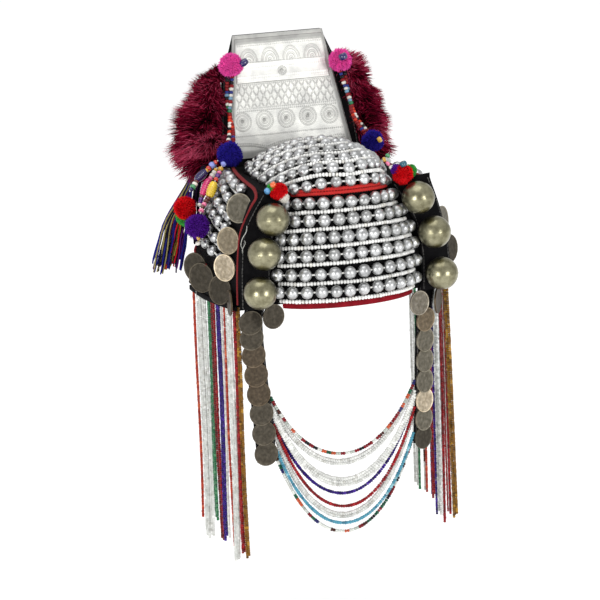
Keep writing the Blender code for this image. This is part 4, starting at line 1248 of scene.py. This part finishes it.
# Colours of the seed beads, each with the share of the beads that have it.
SEED_COLOURS = {
    "white": [(0.8, dye(214, 215, 211)), (0.14, dye(196, 196, 190)), (0.06, dye(236, 236, 233))],
    "red": [(0.65, dye(140, 8, 18)), (0.25, dye(110, 6, 14)), (0.1, dye(172, 34, 38))],
    "orange": [(0.6, dye(178, 58, 32)), (0.3, dye(152, 40, 28)), (0.1, dye(206, 100, 62))],
    "gold": [(0.6, dye(126, 86, 16)), (0.28, dye(94, 62, 8)), (0.12, dye(172, 128, 42))],
    "blue": [(0.6, dye(40, 4, 112)), (0.3, dye(26, 3, 84)), (0.1, dye(72, 36, 150))],
    "green": [(0.7, dye(40, 108, 68)), (0.2, dye(28, 82, 52)), (0.1, dye(88, 150, 106))],
    "brown": [(0.6, dye(112, 24, 24)), (0.4, dye(82, 20, 20))],
    "sky": [(0.7, dye(80, 148, 170)), (0.2, dye(60, 122, 146)), (0.1, dye(136, 188, 200))],
    "clear": [(0.55, dye(196, 198, 194)), (0.25, dye(168, 172, 168)), (0.2, dye(220, 222, 218))],
    "many": [(0.22, dye(214, 216, 210)), (0.12, dye(182, 188, 180)), (0.2, dye(124, 22, 32)),
             (0.17, dye(26, 84, 60)), (0.1, dye(70, 34, 26)), (0.1, dye(22, 20, 26)),
             (0.05, dye(190, 84, 50)), (0.04, dye(40, 40, 100))],
    "edge": [(0.28, dye(128, 22, 28)), (0.22, dye(212, 208, 200)), (0.2, dye(22, 22, 26)),
             (0.08, dye(40, 50, 120)), (0.08, dye(46, 112, 74)), (0.1, dye(196, 56, 34)),
             (0.04, dye(110, 144, 168))],
}
TREES = {}


def seed_tree(name):
    if name not in TREES:
        TREES[name] = bead_tree(f"{name} seed beads", SEED_COLOURS[name])
    return TREES[name]


# Chin strands: where the ends meet the strap and how low the middle hangs, below the forehead
# edge, then the beads' colour and how many lines hang side by side.
Strand = namedtuple("Strand", "end low colour lines")
STRANDS = [Strand(92, 154, "many", 1), Strand(97, 163, "white", 2), Strand(105, 182, "white", 3),
           Strand(111.5, 194, "blue", 1), Strand(118, 206, "red", 1), Strand(126, 215.5, "white", 2),
           Strand(143, 222.5, "sky", 1), Strand(150, 231.5, "many", 1)]
STRAND_PLANE, STRAND_GAP, SAG_SHAPE = 2.9, 3.2, 1.6
STRAND_SLOT = {"many": "mixed_beads", "white": "white_beads", "blue": "blue_beads", "red": "red_beads",
               "sky": "turquoise_beads"}


def strap_edge(z, word):
    middle, _, across, _ = strap_at(z, word)
    point = middle - across * (STRAP_HALF + 0.9 * MM)
    return flip([point], -1 if word == "left" else 1)[0]


def build_chin_strands():
    for number, strand in enumerate(STRANDS, 1):
        start, end = (strap_edge(-strand.end * MM, word) for word in ("left", "right"))
        lines = []
        for k in range(strand.lines):
            drop = (k - (strand.lines - 1) / 2) * STRAND_GAP
            line = []
            for t in even(-1, 1, 61):
                rise = (math.cosh(SAG_SHAPE * t) - 1) / (math.cosh(SAG_SHAPE) - 1)
                point = start.lerp(end, (t + 1) / 2)
                wave = 0.5 * noise.noise(Vector((t * 2.4, number * 5.1, k * 3.3)))
                point.y += (0 if number % 2 else STRAND_PLANE) * MM + wave * MM
                point.z = -(mix(strand.low, strand.end, rise) + drop + wave) * MM
                line.append(point)
            lines.append(line)
        strung(f"seed_strand_{number}", lines, seed_tree(strand.colour), SEED, 2.4, 1.68, 0.1, 0.1,
               2.0 if strand.colour == "many" else 1.0, seed=number,
               slot=STRAND_SLOT[strand.colour], nodes=[f"chin_strand_{number}"])


# Bead tassels: place along the side, lowest point and half-width of each bundle of strands, how
# far its foot hangs out from the side, and the colour of each strand.
Hank = namedtuple("Hank", "y low half out colours")
HANKS = {
    "left": [Hank(-38.7, 243, 3.2, 0, "gold gold gold"), Hank(-33.5, 242, 3.2, 0, "red red red gold"),
             Hank(-23, 251, 6.8, 0, "white " * 6), Hank(-13, 242, 0.8, 0, "orange"),
             Hank(-9.2, 232, 0.8, 0, "white"), Hank(-3, 237, 4.3, 0, "blue blue blue blue"),
             Hank(6, 237, 3.4, 0, "red brown brown"), Hank(16.5, 221, 5.6, 0, "green green green green"),
             Hank(39.6, 244, 12.6, 0, "white " * 9), Hank(58, 230, 1.3, 0, "orange red")],
    "right": [Hank(-31, 236, 5, 5, "gold gold gold gold"), Hank(-18, 236, 5, 2, "red red white red red"),
              Hank(-7, 247, 3.4, 0, "red red clear"), Hank(10, 245, 6, 0, "clear clear clear blue"),
              Hank(25, 234, 4, 0, "red red red blue"), Hank(42, 230, 3, 0, "orange many"),
              Hank(60, 231, 8, 0, "green white white white white")],
}
HANK_SLOT = {"white": "white_beads", "clear": "white_beads", "red": "red_beads", "blue": "blue_beads"}


def tassel_strand(hank, top, place, low, off):
    """Line of one hanging strand; place is where it hangs in its bundle, from -1 to 1."""
    line = []
    for t in even(0, 1, 25):
        y = hank.y + place * hank.half * (0.85 + 0.15 * math.sin(math.pi * t))
        sway = 1.1 * math.sin(t * 5 + hank.y) * t
        out = hank.out * t + off + sway * 0.6
        line.append(Vector((top.x + out * MM, (y + sway) * MM, mix(-2.5, -low, t) * MM)))
    return line


def build_tassels():
    """Strands of the hanging bundles, one piece for each colour at each side."""
    for side, word in SIDES:
        chance = random.Random(f"tassel {word}")
        by_colour = {}
        for hank in HANKS[word]:
            top = tassel_line(hank.y * MM, word)
            names = hank.colours.split()
            for k, name in enumerate(names):
                low = hank.low - chance.uniform(0, 9 if len(names) > 2 else 4)
                off = chance.uniform(-1.3, 1.3)
                line = tassel_strand(hank, top, (k + 0.5) / len(names) * 2 - 1, low, off)
                by_colour.setdefault(name, []).append(flip(line, side))
        for number, (name, lines) in enumerate(by_colour.items()):
            nodes = [f"bead_tassel_{word}"] if number == 0 else []
            strung(f"tassel_{word}_{name}", lines, seed_tree(name), FINE_SEED, 2.05, 1.42, 0.1, 0.1,
                   6.0 if name == "many" else 1.0, seed=20 + number,
                   slot=HANK_SLOT.get(name, "mixed_beads"), nodes=nodes)
        loops = []
        for y in even(-40, 68, 30):
            top = tassel_line(y * MM, word)
            loops.append(flip([Vector((top.x + dx * MM, y * MM, z * MM)) for dx, z in BAND_SECTION],
                              side))
        dress(lofted(f"tassel_band_{word}", loops), "black_cloth", material=black_cotton)


# Small-bead string in front of the board's edge at +X, from the pink pompom to the blue one.
EDGE_PATH = [(59.2, 87.5, 176), (61.5, 82, 160), (63, 73.5, 144)]


def build_edge_strings():
    for side, word in SIDES:
        points = [place_of(row) for row in EDGE_PATH]
        for name, nearest, place in (("pink", points[0], 0), ("blue", points[-1], len(points) + 1)):
            lobe = POMPOMS[f"pompom_{name}_{word}"][0]
            centre = Vector(in_metres((abs(lobe.x), lobe.y, lobe.z)))
            points.insert(place, centre + (nearest - centre).normalized() * lobe.radius * 0.9 * MM)
        line = smooth_path(points, 50)
        lines = []
        for k in (-1, 1):
            shifted = [p + Vector((2.2 * k * math.cos(i * 0.06), 1.2 * k * math.sin(i * 0.1), 0)) * MM
                       for i, p in enumerate(line)]
            lines.append(flip(shifted, side))
        strung(f"seed_edge_string_{word}", lines, seed_tree("edge"), SEED, 2.9, 2.1, 0.12, 0.15,
               seed=31, nodes=[f"edge_string_{word}"])


# Wool, glass, fur and yarn

Lobe = namedtuple("Lobe", "x y z radius")
POMPOMS = {
    "pompom_pink_left": [Lobe(-55.2, 90.8, 202.4, 12.5)],
    "pompom_pink_right": [Lobe(55.7, 90.5, 197.9, 12)],
    "pompom_blue_left": [Lobe(-72.5, 53, 124, 13)],
    "pompom_blue_right": [Lobe(72.5, 53, 123, 11)],
    "pompom_red_left": [Lobe(-124, 37.9, 80.2, 11.3)],
    "pompom_green_left": [Lobe(-120.4, 49, 69.4, 9.5)],
    "pompom_purple_left": [Lobe(-120.9, 13.4, 67, 12.4)],
    "pompoms_front_left": [Lobe(-64.9, -59.6, 106.9, 8.5), Lobe(-60.9, -60.6, 100.4, 5.5),
                           Lobe(-69.9, -56.6, 109.9, 5.5)],
    "pompoms_front_right": [Lobe(58, -57.5, 110.3, 10), Lobe(52.5, -55, 114.3, 6),
                            Lobe(67.5, -53, 111.8, 6.5)],
}
WOOL = {"pink": dye(238, 82, 172), "blue": dye(40, 32, 140), "red": dye(206, 14, 22),
        "green": dye(56, 152, 62), "purple": dye(78, 26, 136), "white": dye(228, 226, 218)}
LOBE_WOOL = {"pompoms_front_left": ["red", "white", "green"],
             "pompoms_front_right": ["red", "purple", "green"]}


def fibre_form(name, radius, bends):
    """One tapering fibre up Z, one unit long, that carries how far along it each corner is."""
    bm = bmesh.new()
    rows = [[round_z(radius * w, t, z) + Vector((0, bow, 0)) for t in (0.3, 2.4, 4.5)]
            for z, w, bow in bends[:-1]]
    made = add_quads(bm, rows, closed=True)
    add_fan(bm, made[-1], bm.verts.new((0, bends[-1][2], bends[-1][0])))
    bm.faces.new(made[0])
    fibre = from_bmesh(name, bm, 180)
    store(fibre, "along", [min(1.0, max(0.0, v.co.z)) for v in fibre.data.vertices])
    return fibre


def add_core(host, colour, build, *values):
    """Put a closed soft core under a piece's fibres, coloured like their roots with part of the painted root
    shade.
    """
    core = bmesh.new()
    core.from_mesh(host.data)
    before = len(core.verts)
    build(core, *values)
    core.to_mesh(host.data)
    total = len(core.verts)
    core.free()
    tint, along = host.data.attributes["tint"].data, host.data.attributes["along"].data
    for i in range(before, total):
        tint[i].color = (*colour, 1.0)
        # Half way along: part of the painted root shade.
        along[i].value = 0.5
    host.data.polygons.foreach_set("material_index", [0] * len(host.data.polygons))


def skin_values(host, lean, reach):
    """Give a skin its direction of lean and, corner by corner, its share of the fibre length."""
    vertices = host.data.vertices
    store(host, "lean", lean * len(vertices), "FLOAT_VECTOR", "vector")
    store(host, "reach", [reach(v) for v in vertices])


def wool_tree(name, colour):
    deep = tuple(c * 0.6 for c in colour)
    pale = tuple(min(1.0, c * 1.15 + 0.015) for c in colour)
    return fibre_tree(name, [(0.0, deep), (0.4, colour), (1.0, pale)])


def add_sphere(bm, centre, radius):
    bmesh.ops.create_icosphere(bm, subdivisions=3, radius=radius, matrix=Matrix.Translation(centre))


def build_pompoms():
    """Clipped wool balls: each a dense burst of yarn ends round a small core."""
    fibre = fibre_form("wool fibre", 0.42 * MM, [(0, 1.0, 0), (0.72, 1.0, 0), (1.0, 0, 0)])
    trees = {name: wool_tree(f"{name} wool", colour) for name, colour in WOOL.items()}
    for name, lobes in POMPOMS.items():
        colours = LOBE_WOOL.get(name) or [name.split("_")[1]]
        for number, (lobe, colour) in enumerate(zip(lobes, colours)):
            centre, radius = place_of(lobe), lobe.radius * MM
            skin_radius = radius * 0.5
            bm = bmesh.new()
            add_sphere(bm, centre, skin_radius)
            host = from_bmesh(f"{name}_{colour}_wool", bm, 180)
            skin_values(host, (0.0, 0.0, -0.12), lambda v: 1.0)
            count = 1500 if lobe.radius > 7 else 700
            grown(host, trees[colour], Fibre=fibre, Density=count / (4 * math.pi * skin_radius ** 2),
                  Length=radius * 0.54, Spread=0.2, Fray=0.32, Seed=number + 3, Finish=pompom_wool,
                  **{"Tuft size": 260.0, "Tuft pull": 0.5, "Patch size": 300.0})
            add_core(host, WOOL[colour], add_sphere, centre, radius * 0.74)
            slot = "wool_red" if colour == "white" else f"wool_{colour}"
            dress(host, slot, *([name] if number == 0 else []), material=pompom_wool)
    bpy.data.objects.remove(fibre)


PLAIN_BEAD = [(0.3, -0.5), (0.72, -0.46), (0.93, -0.32), (1.0, -0.1), (1.0, 0.1), (0.93, 0.32),
              (0.72, 0.46), (0.3, 0.5)]
RIB_DEPTH = 0.16


def bead_profile(ribs):
    """A glass bead's outline as (radius, height) shares: plain, or with grooves pressed round it."""
    if not ribs:
        return PLAIN_BEAD
    steps = ribs * 5
    middle = []
    for i in range(1, steps):
        swell = 1 - 0.35 * abs(2 * i / steps - 1) ** 2.6
        groove = RIB_DEPTH * (0.5 - 0.5 * math.cos(2 * math.pi * ribs * i / steps))
        middle.append((swell * (1 - groove), -0.48 + 0.96 * i / steps))
    return [PLAIN_BEAD[0], *middle, PLAIN_BEAD[-1]]


def add_bead(bm, centre, along, radius, length, ribs=0):
    """One glass bead threaded along a direction."""
    turn = facing(centre, along)
    add_loft(bm, [[turn @ round_z(r * radius, t, z * length) for t in turns(20)]
                  for r, z in bead_profile(ribs)])


# Middle line of each string of large glass beads.
BEAD_LINES = {
    "blue": [(-84.8, 51.6, 119.4), (-90, 52, 116.4), (-95.5, 51, 112), (-101, 50, 108.5),
             (-106.5, 48, 105), (-112, 45, 99), (-117.5, 42, 94.5)],
    "pink": [(-87.4, 48, 113.3), (-92.4, 46, 107.8), (-97.4, 44, 102.3), (-100.9, 42.5, 97.8),
             (-104.4, 40.5, 92.3), (-107.4, 38.5, 87.3), (-110.9, 35, 80.8)],
    "yellow": [(-86, 38, 116.5), (-90.5, 35, 109.5), (-96.5, 31.5, 102), (-100, 29.5, 96),
               (-104, 27, 90), (-111.5, 21.5, 83.5), (-116.5, 16, 78)],
}
GLASS = {"navy": dye(24, 6, 84), "pink": dye(220, 54, 120), "amber": dye(236, 200, 52),
         "orange": dye(216, 96, 44), "gold": dye(206, 158, 50), "pale": dye(138, 148, 222),
         "white": dye(226, 222, 212), "green": dye(60, 140, 90), "brown": dye(96, 40, 30),
         "violet": dye(84, 28, 124), "red": dye(196, 52, 36), "rose": dye(238, 120, 160),
         "teal": dye(4, 84, 104), "sky": dye(90, 150, 200)}
# The beads along each string: share of its length, radius, length, ribs and colour.
GLASS_BEADS = {
    "blue": [(0.07, 2.2, 3, 0, "red"), (0.18, 3.2, 4.6, 0, "pale"),
             (0.29, 2.8, 3.4, 0, "red"), (0.36, 2.2, 2.6, 0, "gold"),
             (0.53, 4.1, 15, 9, "navy"), (0.72, 2.4, 2.6, 0, "brown"),
             (0.79, 2.8, 3.4, 0, "white"), (0.87, 3.0, 3.6, 0, "green"),
             (0.95, 2.2, 3, 0, "navy")],
    "pink": [(0.06, 2.0, 2.6, 0, "gold"), (0.14, 2.4, 3.2, 0, "white"),
             (0.22, 2.7, 3.4, 0, "white"), (0.3, 2.4, 3, 0, "rose"),
             (0.53, 4.3, 18, 9, "pink"), (0.76, 2.4, 3, 0, "brown"),
             (0.83, 2.4, 3, 0, "violet"), (0.9, 2.3, 3, 0, "violet"),
             (0.97, 2.4, 3, 0, "white")],
    "yellow": [(0.06, 2.6, 3.4, 0, "gold"), (0.13, 2.2, 2.6, 0, "rose"),
               (0.2, 2.6, 3.4, 0, "violet"), (0.27, 2.4, 3, 0, "red"),
               (0.475, 4.9, 16, 7, "amber"), (0.66, 2.8, 3, 0, "brown"),
               (0.72, 2.6, 2.8, 0, "brown"), (0.79, 2.5, 3, 0, "rose"),
               (0.86, 2.1, 2.8, 0, "brown"), (0.94, 2.7, 3.2, 0, "rose")],
}
string_glass = tinted_finish("string bead glass", 0.14, coat=0.7, grain=2.0, depth=0.03)


def build_bead_strings():
    for word, rows in BEAD_LINES.items():
        line, _ = resampled([place_of(row) for row in rows], 0.5 * MM)
        string = Parts()
        for at, radius, length, ribs, colour in GLASS_BEADS[word]:
            i = min(int(at * (len(line) - 1)), len(line) - 2)
            along = (line[min(i + 3, len(line) - 1)] - line[max(i - 3, 0)]).normalized()
            string.add(GLASS[colour], add_bead, line[i], along, radius * MM, length * MM, ribs)
        string.add(dye(225, 222, 214), add_thread, line[::4] + [line[-1]], 0.6 * MM, 6)
        dress(string.piece(f"glass_string_{word}", 50), f"{word}_glass", f"bead_string_{word}",
              material=string_glass)


# Single beads caught in the wool of the pompoms.
Single = namedtuple("Single", "x y z radius length colour")
SINGLES = [Single(-44.6, 83.4, 204.7, 3.5, 8.4, "navy"), Single(54.6, 78.8, 202.8, 4.2, 6.8, "navy"),
           Single(75.3, 42.2, 125.7, 2.8, 4.6, "gold"), Single(-121.4, 10.2, 56.4, 2.6, 3.4, "gold"),
           Single(-122, 9.6, 51.5, 2.5, 3.2, "white"), Single(-88.2, 55.8, 115, 3.0, 4.2, "sky"),
           Single(-81.4, 46.6, 116.4, 2.8, 3.8, "pale"), Single(-82.8, 52.6, 110.6, 2.3, 3.4, "gold"),
           Single(-75.2, -57, 107.6, 3.1, 4.8, "sky"), Single(-70.8, -60.4, 113.6, 2.6, 5.4, "orange"),
           Single(57.6, -60.4, 120.4, 3.6, 5.2, "teal"), Single(43.2, -49.6, 124.3, 2.3, 3.0, "gold"),
           Single(45.8, -51.4, 120.4, 2.3, 3.0, "rose"), Single(48.4, -53.2, 117.2, 2.3, 3.0, "white"),
           Single(46.6, -49.8, 127.6, 2.2, 3.0, "green")]


def build_singles():
    beads = Parts()
    for k, bead in enumerate(SINGLES):
        along = Vector((math.cos(k * 2.1), 0.3 * math.sin(k * 1.3), math.sin(k * 2.1) + 0.6)).normalized()
        beads.add(GLASS[bead.colour], add_bead, place_of(bead), along, bead.radius * MM,
                  bead.length * MM)
    dress(beads.piece("single_beads", 50), "mixed_beads", material=string_glass)


# Where the short cord runs on the left side, and the slack threads on the facet: across, up, off it.
SHORT_CORD = ((0.97, 0.33, 1.6), (0.84, 0.31, 5.2), (0.71, 0.29, 6.2), (0.51, 0.26, 5))
SLACK_THREADS = (
    ((1.04, 0.72, 2.6), (1.0, 0.66, 6.5), (1.06, 0.59, 5.5), (1.07, 0.53, 5), (1.0, 0.49, 2.6)),
    ((1.02, 0.6, 2.6), (0.97, 0.55, 5), (1.03, 0.5, 6), (1.0, 0.45, 2.6)),
)


def build_loose_ends():
    """A short red cord over the left side panel, and slack threads on the left strip."""
    points = [off_cloth(left_side, u, v, off * MM) for u, v, off in SHORT_CORD]
    cord = Parts().add(dye(150, 22, 28), add_cord, smooth_path(points, 30), 1.3 * MM, 4 * MM)
    dress(cord.piece("short_red_cord", 80), "red_cord", material=cord_cotton)
    threads = Parts()
    for rows in SLACK_THREADS:
        points = flip([on_facet(f, v, off * MM) for f, v, off in rows], -1)
        threads.add(dye(196, 196, 190), add_thread, smooth_path(points, 24), 0.32 * MM)
    dress(threads.piece("slack_threads", 80), "white_beads", material=thread_cotton)


# The fur strips from the top down: body half-width and depth, and length of the locks.
FurSpot = namedtuple("FurSpot", "y z half deep lock")
FURS = {
    "left": [FurSpot(107, 195, 4, 5, 4), FurSpot(104, 184, 9, 9, 9), FurSpot(100, 165, 14, 13, 15),
             FurSpot(96, 142, 18, 15, 21), FurSpot(93, 122, 18, 15, 23), FurSpot(91, 106, 13, 12, 17),
             FurSpot(90, 95, 6, 6, 6)],
    "right": [FurSpot(107, 198, 5, 6, 9), FurSpot(104, 187, 10, 10, 12), FurSpot(100, 165, 12.5, 12, 10),
              FurSpot(96, 142, 14, 13, 11), FurSpot(93, 122, 14, 13, 14), FurSpot(91, 107, 12, 11, 17),
              FurSpot(90, 97, 6, 6, 8)],
}
# Steps along a strip, the hair length that a reach of 1 stands for, and the body's share of its
# solid's width.
FUR_STEPS, FUR_LENGTH, FUR_BODY = 22, 24, 0.78


def along_fur(spots, column):
    """One of the fur's measures at even steps from its top to its foot, in millimetres."""
    rows = [(getattr(spot, column),) for spot in spots]
    return [blend_rows(rows, i / (FUR_STEPS - 1))[0] for i in range(FUR_STEPS)]


def build_furs():
    """Long hair over a soft body, in clumps that point outwards and hang a little."""
    fibre = fibre_form("fur hair", 0.34 * MM, [(0, 1.0, 0), (0.55, 0.85, 0.0006), (1.0, 0, 0.0018)])
    tree = fibre_tree("fur", [(0.22, dye(44, 5, 18)), (0.42, dye(112, 12, 38)), (0.58, dye(160, 26, 60)),
                              (0.78, dye(204, 84, 114))])
    for side, word in SIDES:
        spots = FURS[word]
        line = [Vector(((board_half(s.z) + (s.half + 1) * 0.82), s.y, s.z)) * MM for s in spots]
        points = flip(smooth_path(line, FUR_STEPS), side)
        halves, deeps = ([value * FUR_BODY * MM for value in along_fur(spots, column)]
                         for column in ("half", "deep"))
        locks = along_fur(spots, "lock")
        skin, core = (sweep(points, halves, deeps, sides, Vector((1, 0, 0))) for sides in (20, 16))
        body = lofted(f"fur_strip_{word}", skin, 180)

        def reach(vert):
            i = min(range(FUR_STEPS), key=lambda k: abs(points[k].z - vert.co.z))
            outer = 0.55 + 0.45 * max(0.0, vert.normal.x * side)
            return (locks[i] * outer + 5.5) / FUR_LENGTH

        skin_values(body, (0.5 * side, 0.0, -0.35), reach)
        grown(body, tree, Fibre=fibre, Density=9000 / sum(p.area for p in body.data.polygons),
              Length=FUR_LENGTH * MM, Spread=0.5, Fray=0.22, Seed=7 + side, Finish=fur_hair,
              **{"Tuft size": 68.0, "Tuft pull": 3.2, "Patch size": 44.0})
        add_core(body, dye(60, 4, 24), add_loft, core)
        dress(body, "fur", f"fur_{word}", material=fur_hair)
    bpy.data.objects.remove(fibre)


# Colours of the tassel's yarns, and where they hang from.
YARNS = [dye(28, 30, 118), dye(86, 24, 104), dye(40, 28, 58), dye(190, 26, 36), dye(128, 118, 52),
         dye(34, 30, 112), dye(200, 66, 34), dye(24, 22, 34), dye(146, 136, 88)]
YARN_TOP = Vector((-100.1, 90, 96.7))
# Dark yarns that fall behind the large glass beads.
BEHIND_STRINGS = [(-96, 61, 113), (-102.7, 61, 98), (-106.5, 59, 84), (-108, 57, 70), (-108.6, 55, 54),
                  (-108.5, 51, 41)]
DARK_YARNS = [dye(26, 20, 34), dye(40, 22, 60), dye(58, 16, 38), dye(20, 18, 22)]


def build_yarn_tassel():
    """A loose bundle of thin wool yarns, and the dark yarns behind the glass beads."""
    chance = random.Random(5)
    yarns = Parts()
    for k in range(9):
        spread = k - 4
        end = Vector((-128 - 2.8 * spread, 90 + 4 * math.sin(2.4 * k), 12 - 3 * math.cos(1.7 * k)))
        middle = YARN_TOP.lerp(end, 0.5) + Vector((-3 - spread, 0, 4))
        for n in range(11):
            off = Vector((chance.uniform(-2.3, 2.3), chance.uniform(-2.6, 2.6), chance.uniform(-2, 2)))
            foot = end + off * 1.2 + Vector((0, 0, chance.uniform(-2, 14)))
            line = smooth_path([YARN_TOP + off * 0.7, YARN_TOP.lerp(middle, 0.5) + off, middle + off,
                                middle.lerp(foot, 0.5) + off, foot], 14)
            curl = chance.uniform(0, 6)
            line = [(p + Vector((0.7 * math.sin(i * 1.1 + curl), 0.7 * math.cos(i * 0.9 + curl), 0))
                     * (i / 13)) * MM for i, p in enumerate(line)]
            yarns.add(YARNS[(k + n // 4) % 9], add_thread, line, 0.8 * MM)
    for k in range(16):
        off = Vector((chance.uniform(-4.5, 3.5), chance.uniform(-5, 3), chance.uniform(-3, 3)))
        line = smooth_path([Vector(row) + off * (0.5 + 0.12 * i) for i, row in enumerate(BEHIND_STRINGS)], 16)
        yarns.add(DARK_YARNS[k % 4], add_thread, [p * MM for p in line[:16 - k % 5]], 0.95 * MM)
    dress(yarns.piece("wool_yarns_left", 180), "yarn", "yarn_tassel_left", material=yarn_wool)


# Stitches

STITCH_OUT = 0.15


def build_stitches():
    """Small running stitches along the cloth edges."""
    form = lathe("stitch form", [(0, -0.6), (0.22, -0.45), (0.22, 0.45), (0, 0.6)], 5)
    tree = bead_tree("running stitch", [(0.6, dye(70, 68, 66)), (0.4, dye(44, 43, 42))])
    lines = []
    for side, word in SIDES:
        for f in (0.31, strip_reach(word) - 0.05):
            lines.append(flip([on_facet(f, v, STRIP_GAP + STRIP_THICK + STITCH_OUT * MM)
                               for v in even(0.01, 0.99, 30)], side))
        for across in (-0.82, 0.82):
            line = []
            for z in even(-2, -150, 40):
                middle, _, wide, out = strap_at(z * MM, word)
                line.append(middle + wide * STRAP_HALF * across + out * (STRAP_THICK / 2 + STITCH_OUT * MM))
            lines.append(flip(line, side))
        lines.append([Vector((side * (board_half(z) - 2.2), board_front(z) - STITCH_OUT, z)) * MM
                      for z in even(112, 222, 30)])
    strung("edge_stitches", lines, tree, form, 3.2, 2.4, 0.15, 0.2, seed=9, coat=thread_cotton,
           slot="black_cloth")
    bpy.data.objects.remove(form)


# All pieces, in the order they are sewn on

SEED = lathe("seed form", [(0, -0.6), (0.62, -0.7), (1.0, -0.34), (1.0, 0.34), (0.62, 0.7), (0, 0.6)], 8)
FINE_SEED = lathe("fine seed form", [(0, -0.68), (0.9, -0.58), (0.9, 0.58), (0, 0.68)], 6)

build_cap()
build_hem()
build_board()
for side, word in SIDES:
    build_strip(side, word)
    build_strap(side, word)
build_fields()
build_cords()
build_balls()
build_plate()
build_coins()
build_chin_strands()
build_tassels()
build_edge_strings()
build_pompoms()
build_bead_strings()
build_furs()
build_yarn_tassel()
build_stitches()
build_singles()
build_loose_ends()
for form in (SEED, FINE_SEED):
    bpy.data.objects.remove(form)


# Floor, light and camera

FLOOR_HEIGHT, FLOOR_SIZE = -0.32, 6.0
SOFT_BOXES = (("left soft box", (-1.9, -1.75, 0.3), 0.7, 20),
              ("right soft box", (0.9, -2.45, 0.3), 0.7, 18),
              ("top soft box", (-0.3, -0.3, 2.2), 1.6, 14))
CAMERA_AZIMUTH, CAMERA_RISE, CAMERA_ROLL = math.radians(-20), math.radians(13), math.radians(2)
CAMERA_AIM, CAMERA_FAR = Vector((-0.008, 0.051, -0.0241)), 3.0


def build_stage():
    bm = bmesh.new()
    bmesh.ops.create_grid(bm, x_segments=1, y_segments=1, size=FLOOR_SIZE,
                          matrix=Matrix.Translation((0, 0, FLOOR_HEIGHT)))
    floor = from_bmesh("pale_floor", bm)
    pale, _, _ = finish("pale floor", Base_Color=(0.9, 0.9, 0.9, 1), Roughness=0.9,
                        Emission_Color=(1, 1, 1, 1), Emission_Strength=0.3)
    floor.data.materials.append(pale)


def build_light():
    world = bpy.data.worlds.new("soft studio")
    bpy.context.scene.world = world
    world.use_nodes = True
    sky = world.node_tree.nodes["Background"]
    sky.inputs["Color"].default_value = (1.0, 1.0, 1.0, 1.0)
    sky.inputs["Strength"].default_value = 0.8
    for name, place, size, power in SOFT_BOXES:
        lamp = bpy.data.lights.new(name, "AREA")
        lamp.size, lamp.energy = size, power
        lamp_object = bpy.data.objects.new(name, lamp)
        bpy.context.scene.collection.objects.link(lamp_object)
        lamp_object.location = place
        lamp_object.rotation_euler = (-Vector(place)).to_track_quat("-Z", "Y").to_euler()


def build_camera():
    """Long lens from the left front, a little above, with the photograph's slight roll."""
    turn = (Matrix.Rotation(CAMERA_AZIMUTH, 4, "Z") @ Matrix.Rotation(math.pi / 2 - CAMERA_RISE, 4, "X")
            @ Matrix.Rotation(-CAMERA_ROLL, 4, "Z"))
    lens = bpy.data.cameras.new("camera")
    lens.lens, lens.sensor_width, lens.clip_end = 187.5, 36, 20
    camera = bpy.data.objects.new("camera", lens)
    bpy.context.scene.collection.objects.link(camera)
    camera.matrix_world = Matrix.Translation(CAMERA_AIM + turn.to_3x3() @ Vector((0, 0, CAMERA_FAR))) @ turn
    bpy.context.scene.camera = camera


build_stage()
build_light()
build_camera()
bpy.context.scene.view_settings.view_transform = "Standard"

bpy.context.view_layer.update()
